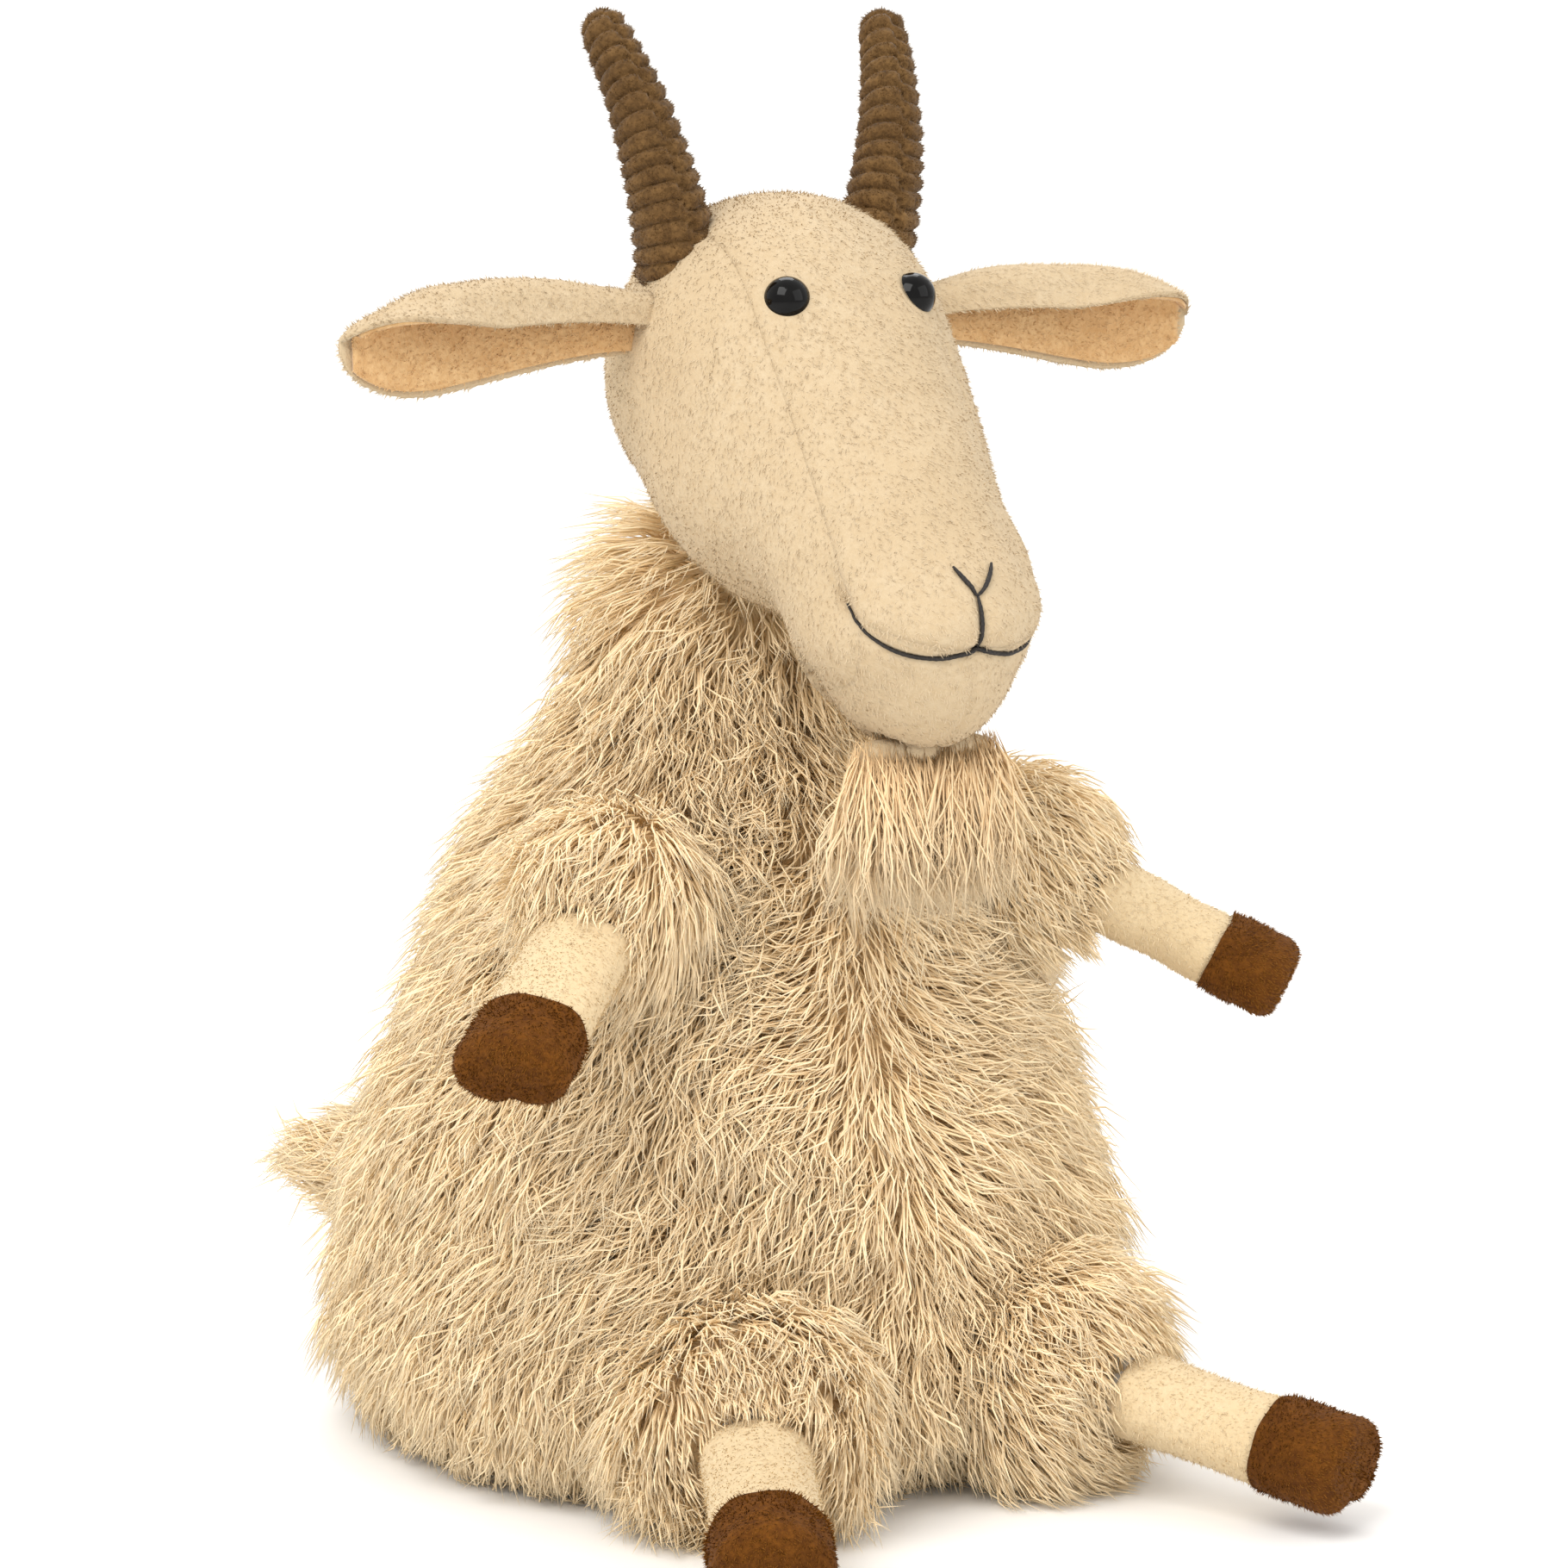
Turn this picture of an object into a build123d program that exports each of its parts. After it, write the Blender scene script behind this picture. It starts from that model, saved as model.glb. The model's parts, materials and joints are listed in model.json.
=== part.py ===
"""Seated plush goat: a stuffed, sewn toy with a shaggy body, corduroy horns and soft hooves.

The goat faces -Y, its left side is +X and up is +Z.  The origin is the centre of the flat
base panel, on the surface that the goat sits on.  Lengths are millimetres, angles degrees.
Fur pieces are modelled to the outer reach of their pile.
"""
import os
from math import asin, cos, hypot, radians, sin

from build123d import *

os.makedirs("parts", exist_ok=True)

# ---------------------------------------------------------------- driving dimensions
cloth = 2.2             # backing cloth and short pile together
fur_depth = 10.0        # backing cloth and combed-down long pile together
seat_gap = 1.0          # room between a limb's ball and its dimple, where the seam thread lies
thread_radius = 0.3     # hand-sewn closing thread

# torso: a pear turned about Z, whose side is four arcs, each (middle point, end point)
# given as radius and height: haunches, belly, shoulders and throat
base_radius = 72.0
torso_arcs = [((86, 11), (91, 36)), ((84, 71), (73, 103)), ((62, 130), (46, 154)), ((36, 173), (32, 188))]
base_panel_radius = 66.0
base_panel_thickness = 2.0
neck_radius = 32.0
neck_seam_radius = 18.0
neck_seam_slope = 56.6  # the closing thread's ring faces forward and up
neck_height = 188.0     # centre of the neck's round top, which the head turns on

# weighting pellets in their pouch, low in the torso
pouch_radius = 50.0
pouch_height = 26.0
pouch_floor = 3.0
pouch_cloth = 0.8
pouch_edge = 12.0

# head: a large ball for the cranium and a small one for the muzzle, with a cone between
cranium_y = -25.0
cranium_z = 250.0
cranium_radius = 40.0
muzzle_y = -84.5
muzzle_z = 197.0
muzzle_radius = 27.0
side_seam_x = 23.0      # where a side panel meets the centre gusset
mouth_z = 194.0         # the chin panel's edge under the nose, and at the nape
nape_z = 218.0

# eyes: a moulded dome with a stem that a washer locks behind the cloth
eye_station = 12.0      # along the head's axis from the cranium's centre
eye_angle = 25.5        # round that axis from the top of the face
eye_radius = 5.0
eye_ball_radius = 5.2
eye_stem_radius = 1.5
eye_stem_length = 9.0
washer_radius = 6.5
washer_depth = 3.0
washer_thickness = 1.5
fit_gap = 0.2

# stitching on the muzzle, in degrees round and up the muzzle's ball
stitch_radius = 0.7
stitch_length = 2.6
stitch_lift = 0.2
nose_stem = ((0, 5), (0, 22))
nose_arm = ((4, 27), (22, 40))
mouth_middle = ((4, -3), (36, -9))
mouth_corner = ((40, -6), (62, 18))
nose_stitches = 3
mouth_stitches = 5

# horns: bent cones of corduroy
horn_root = (21.0, -23.3, 275.0)
horn_middle = (32.0, -20.0, 305.0)
horn_tip = (37.0, -5.0, 329.0)
horn_root_radius = 10.5
horn_tip_radius = 5.5
horn_sections = 5

# ears: leaves that stand out level from the head
ear_root = (37.5, -25.0, 263.0)
ear_ball_radius = 8.0
ear_heel = (40.0, 264.0)    # the leaf's outline, across and up
ear_top = (76.0, 273.5)
ear_tip = (109.0, 259.5)
ear_bottom = (82.0, 245.0)
ear_outer_thickness = 3.5
ear_inner_thickness = 2.5

# beard: a tuft hung from a hinge line under the chin
beard_y = -87.0
beard_z = 171.0
beard_roll_radius = 8.0
beard_half_width = 20.0
beard_drop = 42.0
beard_sections = [(0.0, 1.0, 7.0), (0.45, 0.92, 8.5), (0.8, 0.55, 6.0), (1.0, 0.16, 2.5)]
# each section is its share of the drop, its share of the width, and its half depth

# limbs: a furry sleeve with a ball inside the body, an oval lower cover and a hoof
sole_thickness = 3.0
hoof_spread = 0.5       # a hoof stands this much wider than its cover, and so much higher
hoof_rise = 0.2
hoof_taper = 0.94       # the sole's size as a share of the hoof's top
core_taper = 0.96
shoulder_seam_radius = 14.0
hip_seam_radius = 16.0

# arms
arm_heading = 50.0      # away from straight ahead
arm_slope = -26.0
shoulder_reach = 70.0
shoulder_height = 138.0
arm_ball_radius = 20.0
sleeve_length = 28.0
sleeve_end_radius = 15.5
forearm_start = 18.0
forearm_end = 50.0
arm_length = 67.0
arm_half_width = 13.0
arm_half_height = 9.5

# legs
leg_heading = 26.0
leg_slope = -8.5
hip_reach = 90.0
hip_height = 26.0
leg_ball_radius = 24.0
thigh_length = 28.0
thigh_end_radius = 17.5
shin_start = 20.0
shin_end = 58.0
leg_length = 78.0
leg_half_width = 13.0
leg_half_height = 10.8

# tail
tail_root = (-24.0, 96.0, 40.0)
tail_end = (-58.0, 128.0, 46.0)
tail_ball_radius = 12.0
tail_tip_radius = 1.5
tail_tip_slope = (1.0, -0.8)
tail_outline = [(0.42, 13.0), (0.8, 8.5)]   # share of the tail's length, radius


# ---------------------------------------------------------------- shared shapes
def write(piece, name):
    """Label a finished piece and write its file."""
    piece.part.label = name
    export_step(piece.part, f"parts/{name}.step")


def ball_at(centre):
    """A place for a ball whose poles face sideways, clear of the other surfaces' poles."""
    return Location(centre, (0, 90, 0))


def along(start, direction, distance):
    """The point at a distance from start in a unit direction."""
    return tuple(a + distance * b for a, b in zip(start, direction))


def heading_direction(side, heading, slope):
    """A unit vector at a heading off straight ahead, towards one side, rising at a slope."""
    level = cos(radians(slope))
    return (side * sin(radians(heading)) * level, -cos(radians(heading)) * level, sin(radians(slope)))


def pivot_point(side, heading, reach, height):
    """Where a limb's ball sits, on a circle about the torso's axis."""
    return (side * reach * sin(radians(heading)), -reach * cos(radians(heading)), height)


def torso_form(inset, floor):
    """The torso's pear, drawn in by inset and cut level at floor."""
    neck = neck_radius - inset
    foot = (base_radius - inset, floor)
    with BuildPart() as form:
        with BuildSketch(Plane.XZ):
            with BuildLine():
                start = foot
                for middle, end in torso_arcs:
                    end = (end[0] - inset, end[1])
                    ThreePointArc(start, (middle[0] - inset, middle[1]), end)
                    start = end
                RadiusArc((neck, neck_height), (0, neck_height + neck), -neck)
                Polyline((0, neck_height + neck), (0, floor), foot)
            make_face()
        revolve(axis=Axis.Z)
    return form


def head_form(inset):
    """The head's two balls and the cone that joins them, drawn in by inset."""
    big = cranium_radius - inset
    small = muzzle_radius - inset
    tilt = asin((cranium_radius - muzzle_radius) / head_length)
    big_edge = (big * sin(tilt), big * cos(tilt))
    small_edge = (head_length + small * sin(tilt), small * cos(tilt))
    with BuildPart() as form:
        with BuildSketch(head_plane):
            with BuildLine():
                ThreePointArc((-big, 0), (0, big), big_edge)
                Line(big_edge, small_edge)
                RadiusArc(small_edge, (head_length + small, 0), small)
                Line((head_length + small, 0), (-big, 0))
            make_face()
        revolve(axis=Axis(head_plane.origin, head_plane.x_dir))
    return form


# ---------------------------------------------------------------- places worked out
head_length = hypot(muzzle_y - cranium_y, muzzle_z - cranium_z)
head_axis = (0.0, (muzzle_y - cranium_y) / head_length, (muzzle_z - cranium_z) / head_length)
head_up = (0.0, head_axis[2], -head_axis[1])
head_plane = Plane(origin=(0, cranium_y, cranium_z), x_dir=head_axis, z_dir=(1, 0, 0))
neck_centre = (0.0, 0.0, neck_height)
sides = {"left": 1, "right": -1}
half_turn = 180.0
shoulders = {n: pivot_point(s, arm_heading, shoulder_reach, shoulder_height) for n, s in sides.items()}
hips = {n: pivot_point(s, leg_heading, hip_reach, hip_height) for n, s in sides.items()}
ear_roots = {n: (s * ear_root[0], ear_root[1], ear_root[2]) for n, s in sides.items()}


# ---------------------------------------------------------------- torso
with BuildPart() as torso_core:
    add(torso_form(fur_depth, base_panel_thickness).part)
    with Locations(*[ball_at(p) for p in shoulders.values()]):
        Sphere(arm_ball_radius + seat_gap + cloth, mode=Mode.SUBTRACT)
    with Locations(*[ball_at(p) for p in hips.values()]):
        Sphere(leg_ball_radius + seat_gap + cloth, mode=Mode.SUBTRACT)
    with Locations(ball_at(tail_root)):
        Sphere(tail_ball_radius + seat_gap + cloth, mode=Mode.SUBTRACT)

with BuildPart() as torso_outside:
    add(torso_form(0, 0).part)
    with Locations(*[ball_at(p) for p in shoulders.values()]):
        Sphere(arm_ball_radius + seat_gap, mode=Mode.SUBTRACT)
    with Locations(*[ball_at(p) for p in hips.values()]):
        Sphere(leg_ball_radius + seat_gap, mode=Mode.SUBTRACT)
    with Locations(ball_at(tail_root)):
        Sphere(tail_ball_radius + seat_gap, mode=Mode.SUBTRACT)
    with BuildSketch(Plane.XY):
        Circle(base_panel_radius)
    extrude(amount=base_panel_thickness, mode=Mode.SUBTRACT)

for name, keep in {"left": Keep.TOP, "right": Keep.BOTTOM}.items():
    with BuildPart() as body_cover:
        add(torso_outside.part)
        split(bisect_by=Plane.YZ, keep=keep)
        add(torso_core.part, mode=Mode.SUBTRACT)
    write(body_cover, f"body_{name}_cover")

with BuildPart() as base_panel:
    with BuildSketch(Plane.XY):
        Circle(base_panel_radius)
    extrude(amount=base_panel_thickness)
write(base_panel, "base_panel")


def pouch_form(inset):
    """A flat round bag with full edges, drawn in by inset."""
    with BuildPart() as form:
        with BuildSketch(Plane.XY.offset(pouch_floor + inset)):
            Circle(pouch_radius - inset)
        extrude(amount=pouch_height - 2 * inset)
        fillet(form.edges(), radius=pouch_edge - inset)
    return form


with BuildPart() as body_stuffing:
    add(torso_core.part)
    add(pouch_form(0).part, mode=Mode.SUBTRACT)
write(body_stuffing, "body_stuffing")

with BuildPart() as pellet_pouch:
    add(pouch_form(0).part)
    add(pouch_form(pouch_cloth).part, mode=Mode.SUBTRACT)
write(pellet_pouch, "pellet_pouch")

with BuildPart() as pellet_fill:
    add(pouch_form(pouch_cloth).part)
write(pellet_fill, "pellet_fill")


# ---------------------------------------------------------------- head
def eye_plane(side):
    """The plane that touches the face at an eye, facing outwards."""
    tilt = asin((cranium_radius - muzzle_radius) / head_length)
    out = cranium_radius / cos(tilt) - eye_station * sin(tilt) / cos(tilt)
    turn = radians(side * eye_angle)
    radial = (sin(turn), cos(turn) * head_up[1], cos(turn) * head_up[2])
    spot = along(along(tuple(head_plane.origin), head_axis, eye_station), radial, out)
    facing = tuple(cos(tilt) * r + sin(tilt) * a for r, a in zip(radial, head_axis))
    return Plane(origin=spot, z_dir=facing)


eye_planes = {name: eye_plane(side) for name, side in sides.items()}

with BuildPart() as head_core:
    add(head_form(cloth).part)
    with Locations(neck_centre):
        Sphere(neck_radius + seat_gap + cloth, mode=Mode.SUBTRACT)
    with Locations(*[ball_at(p) for p in ear_roots.values()]):
        Sphere(ear_ball_radius + seat_gap + cloth, mode=Mode.SUBTRACT)
    with Locations(Location((0, beard_y, beard_z), (0, 90, 0))):
        Cylinder(
            beard_roll_radius + seat_gap + cloth,
            2 * (beard_half_width + seat_gap + cloth),
            mode=Mode.SUBTRACT,
        )

with BuildPart() as head_outside:
    add(head_form(0).part)
    with Locations(neck_centre):
        Sphere(neck_radius + seat_gap, mode=Mode.SUBTRACT)
    with Locations(*[ball_at(p) for p in ear_roots.values()]):
        Sphere(ear_ball_radius + seat_gap, mode=Mode.SUBTRACT)
    with Locations(Location((0, beard_y, beard_z), (0, 90, 0))):
        Cylinder(
            beard_roll_radius + seat_gap, 2 * (beard_half_width + seat_gap), mode=Mode.SUBTRACT
        )
    for plane in eye_planes.values():
        with Locations(plane.offset(-eye_stem_length / 2)):
            Cylinder(eye_stem_radius + fit_gap, eye_stem_length + cloth, mode=Mode.SUBTRACT)

mouth_rise = nape_z - mouth_z
mouth_run = cranium_radius + cranium_y - (muzzle_y - muzzle_radius)
mouth_plane = Plane(origin=(0, muzzle_y - muzzle_radius, mouth_z), z_dir=(0, -mouth_rise, mouth_run))
left_seam_plane = Plane(origin=(side_seam_x, 0, 0), z_dir=(1, 0, 0))
right_seam_plane = Plane(origin=(-side_seam_x, 0, 0), z_dir=(-1, 0, 0))
head_panels = {
    "head_left_panel": [(left_seam_plane, Keep.TOP)],
    "head_right_panel": [(right_seam_plane, Keep.TOP)],
    "head_center_gusset": [
        (left_seam_plane, Keep.BOTTOM), (right_seam_plane, Keep.BOTTOM), (mouth_plane, Keep.TOP),
    ],
    "chin_panel": [
        (left_seam_plane, Keep.BOTTOM), (right_seam_plane, Keep.BOTTOM), (mouth_plane, Keep.BOTTOM),
    ],
}
for name, cuts in head_panels.items():
    with BuildPart() as head_panel:
        add(head_outside.part)
        for seam_plane, keep in cuts:
            split(bisect_by=seam_plane, keep=keep)
        add(head_core.part, mode=Mode.SUBTRACT)
    write(head_panel, name)

with BuildPart() as head_stuffing:
    add(head_core.part)
    for plane in eye_planes.values():
        with Locations(plane.offset(-washer_depth - washer_thickness / 2)):
            Cylinder(washer_radius + fit_gap, washer_thickness + 2 * fit_gap, mode=Mode.SUBTRACT)
        with Locations(plane.offset(-eye_stem_length / 2)):
            Cylinder(eye_stem_radius + fit_gap, eye_stem_length + 2 * fit_gap, mode=Mode.SUBTRACT)
write(head_stuffing, "head_stuffing")

for name, plane in eye_planes.items():
    with BuildPart() as eye:
        with Locations(plane.offset(-(eye_ball_radius**2 - eye_radius**2) ** 0.5)):
            Sphere(eye_ball_radius)
        split(bisect_by=plane, keep=Keep.TOP)
        with Locations(plane.offset(-eye_stem_length / 2)):
            Cylinder(eye_stem_radius, eye_stem_length)
    write(eye, f"{name}_eye")

    with BuildPart() as washer:
        with Locations(plane.offset(-washer_depth - washer_thickness / 2)):
            Cylinder(washer_radius, washer_thickness)
            Cylinder(eye_stem_radius, washer_thickness, mode=Mode.SUBTRACT)
    write(washer, f"{name}_eye_washer")


# ---------------------------------------------------------------- nose and mouth stitching
def muzzle_plane(azimuth, elevation, toward):
    """A plane just above the muzzle's ball, facing out, its X along the stitching."""
    out = (
        sin(radians(azimuth)) * cos(radians(elevation)),
        -cos(radians(azimuth)) * cos(radians(elevation)),
        sin(radians(elevation)),
    )
    spot = along((0, muzzle_y, muzzle_z), out, muzzle_radius + stitch_radius + stitch_lift)
    around = (
        cos(radians(azimuth)) * toward[0] * cos(radians(elevation))
        - sin(radians(azimuth)) * sin(radians(elevation)) * toward[1],
        sin(radians(azimuth)) * toward[0] * cos(radians(elevation))
        + cos(radians(azimuth)) * sin(radians(elevation)) * toward[1],
        cos(radians(elevation)) * toward[1],
    )
    return Plane(origin=spot, x_dir=around, z_dir=out)


def stitch_run(start, end, count):
    """Places of evenly spaced stitches between two points given round and up the muzzle."""
    step = ((end[0] - start[0]) / count, (end[1] - start[1]) / count)
    return [
        muzzle_plane(start[0] + (i + 0.5) * step[0], start[1] + (i + 0.5) * step[1], step)
        for i in range(count)
    ]


def sew(places):
    """One short round-section stitch at each place."""
    with BuildPart() as stitches:
        for place in places:
            with Locations(place * Location((0, 0, 0), (0, 90, 0))):
                Cylinder(stitch_radius, stitch_length)
    return stitches


def mirrored_run(side, run, count):
    """A run of stitches on one side of the muzzle."""
    start, end = [(side * azimuth, elevation) for azimuth, elevation in run]
    return stitch_run(start, end, count)


nose_places = stitch_run(*nose_stem, nose_stitches)
mouth_places = []
for side in sides.values():
    nose_places += mirrored_run(side, nose_arm, nose_stitches)
    mouth_places += mirrored_run(side, mouth_middle, mouth_stitches)
    mouth_places += mirrored_run(side, mouth_corner, mouth_stitches)
write(sew(nose_places), "nose_stitch")
write(sew(mouth_places), "mouth_stitch")


# ---------------------------------------------------------------- horns
def horn_form(side, inset):
    """A bent cone with a round tip, drawn in by inset, cut where it meets the head."""
    root, middle, tip = [(side * x, y, z) for x, y, z in (horn_root, horn_middle, horn_tip)]
    with BuildPart() as form:
        with BuildLine(mode=Mode.PRIVATE) as path:
            ThreePointArc(root, middle, tip)
        curve = path.edges()[0]
        for i in range(horn_sections):
            step = i / (horn_sections - 1)
            radius = horn_root_radius + step * (horn_tip_radius - horn_root_radius) - inset
            with BuildSketch(Plane(origin=curve @ step, x_dir=(side, 0, 0), z_dir=curve % step)):
                Circle(radius)
        loft()
        with Locations(tip):
            Sphere(horn_tip_radius - inset)
        add(head_form(0).part, mode=Mode.SUBTRACT)
    return form


for name, side in sides.items():
    with BuildPart() as horn_stuffing:
        add(horn_form(side, cloth).part)
    write(horn_stuffing, f"{name}_horn_stuffing")
    with BuildPart() as horn_cover:
        add(horn_form(side, 0).part)
        add(horn_stuffing.part, mode=Mode.SUBTRACT)
    write(horn_cover, f"{name}_horn_cover")


# ---------------------------------------------------------------- ears
def ear_leaf(side, front_y, thickness):
    """The ear's leaf outline, extruded backwards from front_y."""
    root, top, tip, bottom = [
        (side * p[0], p[1]) for p in (ear_heel, ear_top, ear_tip, ear_bottom)
    ]
    with BuildPart() as leaf:
        with BuildSketch(Plane.XZ.offset(-front_y)):
            with BuildLine():
                ThreePointArc(root, top, tip)
                ThreePointArc(tip, bottom, root)
            make_face()
        extrude(amount=-thickness)
    return leaf


ear_thickness = ear_outer_thickness + ear_inner_thickness
ear_front_y = ear_root[1] - ear_thickness / 2
for name, side in sides.items():
    with BuildPart() as ear_inner:
        add(ear_leaf(side, ear_front_y, ear_inner_thickness).part)
        with Locations(ball_at(ear_roots[name])):
            Sphere(ear_ball_radius, mode=Mode.SUBTRACT)
    write(ear_inner, f"{name}_ear_inner")
    with BuildPart() as ear_outer:
        add(ear_leaf(side, ear_front_y + ear_inner_thickness, ear_outer_thickness).part)
        with Locations(ball_at(ear_roots[name])):
            Sphere(ear_ball_radius)
    write(ear_outer, f"{name}_ear_outer")


# ---------------------------------------------------------------- beard
with BuildPart() as beard:
    for drop, spread, depth in beard_sections:
        with BuildSketch(Plane.XY.offset(beard_z - drop * beard_drop)):
            with Locations((0, beard_y)):
                Ellipse(spread * beard_half_width, depth)
    loft()
    with Locations(Location((0, beard_y, beard_z), (0, 90, 0))):
        Cylinder(beard_roll_radius, 2 * beard_half_width)
write(beard, "beard")


# ---------------------------------------------------------------- limbs
def limb_round(pivot, direction, ball_radius, length, end_radius):
    """A ball that tapers into a round-ended sleeve along direction."""
    tangent = asin((ball_radius - end_radius) / length)
    ball_edge = (ball_radius * sin(tangent), ball_radius * cos(tangent))
    with BuildPart() as form:
        with BuildSketch(Plane(origin=pivot, x_dir=direction, z_dir=(direction[1], -direction[0], 0))):
            with BuildLine():
                RadiusArc((-ball_radius, 0), ball_edge, ball_radius)
                Polyline(ball_edge, (length, end_radius), (length, 0), (-ball_radius, 0))
            make_face()
        revolve(axis=Axis(pivot, direction))
    return form


def limb_oval(pivot, direction, start, end, half_width, half_height, end_scale=1.0):
    """An oval bar between two stations along a limb, wider than it is high."""
    level = Plane(origin=pivot, x_dir=(-direction[1], direction[0], 0), z_dir=direction)
    with BuildPart() as form:
        with BuildSketch(level.offset(start)):
            Ellipse(half_width, half_height)
        with BuildSketch(level.offset(end)):
            Ellipse(half_width * end_scale, half_height * end_scale)
        loft()
    return form


def make_limb(pivot, direction, sizes, names):
    """Write a limb's sleeve, lower cover, hoof and stuffing, nested without overlap."""
    ball, sleeve_end, sleeve_radius, start, middle, end, width, height = sizes
    sole = end - sole_thickness
    with BuildPart() as core:
        with Locations(pivot):
            Sphere(ball - cloth)
        add(limb_oval(pivot, direction, 0, sole, width - cloth, height - cloth, core_taper).part)
    lower = limb_oval(pivot, direction, start, middle, width, height)
    with BuildPart() as sleeve:
        add(limb_round(pivot, direction, ball, sleeve_end, sleeve_radius).part)
        add(lower.part, mode=Mode.SUBTRACT)
        add(core.part, mode=Mode.SUBTRACT)
    write(sleeve, names["sleeve"])
    with BuildPart() as cover:
        add(lower.part)
        add(core.part, mode=Mode.SUBTRACT)
    write(cover, names["cover"])
    with BuildPart() as hoof:
        hoof_size = (width + hoof_spread, height + hoof_rise, hoof_taper)
        add(limb_oval(pivot, direction, middle, end, *hoof_size).part)
        add(core.part, mode=Mode.SUBTRACT)
    write(hoof, names["hoof"])
    write(core, names["stuffing"])


def seam_ring(centre, facing, ball_radius, ring_radius, name):
    """The closing thread, a ring that lies in the gap between a ball and its dimple."""
    lie = ball_radius + seat_gap / 2
    lift = (lie**2 - ring_radius**2) ** 0.5
    with BuildPart() as ring:
        with Locations(Plane(origin=along(centre, facing, lift), z_dir=facing)):
            Torus(ring_radius, thread_radius)
    write(ring, name)


arm_sizes = (
    arm_ball_radius, sleeve_length, sleeve_end_radius, forearm_start, forearm_end,
    arm_length, arm_half_width, arm_half_height,
)
leg_sizes = (
    leg_ball_radius, thigh_length, thigh_end_radius, shin_start, shin_end,
    leg_length, leg_half_width, leg_half_height,
)
for name, side in sides.items():
    arm_way = heading_direction(side, arm_heading, arm_slope)
    arm_names = {
        "sleeve": f"{name}_sleeve", "cover": f"{name}_forearm_cover",
        "hoof": f"{name}_front_hoof", "stuffing": f"{name}_arm_stuffing",
    }
    make_limb(shoulders[name], arm_way, arm_sizes, arm_names)
    inward = heading_direction(side, arm_heading + half_turn, 0)
    seam_ring(shoulders[name], inward, arm_ball_radius, shoulder_seam_radius, f"{name}_shoulder_seam")

    leg_way = heading_direction(side, leg_heading, leg_slope)
    leg_names = {
        "sleeve": f"{name}_thigh_cover", "cover": f"{name}_shin_cover",
        "hoof": f"{name}_hind_hoof", "stuffing": f"{name}_leg_stuffing",
    }
    make_limb(hips[name], leg_way, leg_sizes, leg_names)
    inward = heading_direction(side, leg_heading + half_turn, 0)
    seam_ring(hips[name], inward, leg_ball_radius, hip_seam_radius, f"{name}_hip_seam")

neck_facing = heading_direction(0, 0, neck_seam_slope)
seam_ring(neck_centre, neck_facing, neck_radius, neck_seam_radius, "neck_seam")


# ---------------------------------------------------------------- tail
tail_run = tuple(b - a for a, b in zip(tail_root, tail_end))
tail_length = hypot(*tail_run)
tail_way = tuple(c / tail_length for c in tail_run)
with BuildPart() as tail:
    with BuildSketch(Plane(origin=tail_root, x_dir=tail_way, z_dir=(tail_way[1], -tail_way[0], 0))):
        with BuildLine():
            RadiusArc((-tail_ball_radius, 0), (0, tail_ball_radius), tail_ball_radius)
            belly = [(share * tail_length, radius) for share, radius in tail_outline]
            ends = [(0, tail_ball_radius), (tail_length, tail_tip_radius)]
            Spline(ends[0], *belly, ends[1], tangents=[(1, 0), tail_tip_slope])
            Polyline(ends[1], (tail_length, 0), (-tail_ball_radius, 0))
        make_face()
    revolve(axis=Axis(tail_root, tail_way))
write(tail, "tail")
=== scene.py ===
# %% [markdown]
# # A seated plush goat
# A stuffed, sewn goat sits on its flat base.  Its body is shaggy faux fur, its head and lower limbs are
# short-pile plush, its horns are corduroy and its hooves are velour.  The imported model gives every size,
# place and joint.  This lesson dresses it: each cell makes one piece or one finish.  Lengths are metres,
# the goat faces -Y, its left side is +X and up is +Z.

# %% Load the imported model
import json
import math
from types import SimpleNamespace

import bpy
import numpy as np
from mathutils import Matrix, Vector
from mathutils.bvhtree import BVHTree


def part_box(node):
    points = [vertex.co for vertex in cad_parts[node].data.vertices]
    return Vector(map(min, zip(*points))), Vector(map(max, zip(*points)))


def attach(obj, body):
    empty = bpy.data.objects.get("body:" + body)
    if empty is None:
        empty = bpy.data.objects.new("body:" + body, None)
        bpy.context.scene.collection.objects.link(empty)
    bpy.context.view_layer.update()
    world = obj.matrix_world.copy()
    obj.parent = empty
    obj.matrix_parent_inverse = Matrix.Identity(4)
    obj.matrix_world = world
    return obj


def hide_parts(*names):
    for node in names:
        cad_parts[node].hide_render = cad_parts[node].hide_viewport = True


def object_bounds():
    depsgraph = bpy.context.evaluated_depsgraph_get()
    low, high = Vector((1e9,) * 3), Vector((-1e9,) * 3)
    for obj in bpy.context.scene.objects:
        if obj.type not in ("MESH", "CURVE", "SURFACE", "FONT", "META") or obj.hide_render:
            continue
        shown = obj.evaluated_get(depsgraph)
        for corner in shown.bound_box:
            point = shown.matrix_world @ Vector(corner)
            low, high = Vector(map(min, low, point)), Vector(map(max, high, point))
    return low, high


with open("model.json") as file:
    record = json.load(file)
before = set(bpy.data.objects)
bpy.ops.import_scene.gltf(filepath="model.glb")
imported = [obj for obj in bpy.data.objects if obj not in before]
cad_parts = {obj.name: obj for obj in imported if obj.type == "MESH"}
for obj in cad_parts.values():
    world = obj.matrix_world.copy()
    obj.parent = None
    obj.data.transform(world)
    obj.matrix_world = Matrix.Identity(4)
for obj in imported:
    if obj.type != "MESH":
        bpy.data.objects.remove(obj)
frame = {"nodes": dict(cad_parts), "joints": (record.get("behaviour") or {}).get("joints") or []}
cad_box = [list(corner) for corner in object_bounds()]
joints = {joint["name"]: joint for joint in frame["joints"]}
MM = 0.001
SIDES = {"left": 1.0, "right": -1.0}
print("CAD box in mm:", [[round(v / MM, 1) for v in corner] for corner in cad_box])


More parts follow.
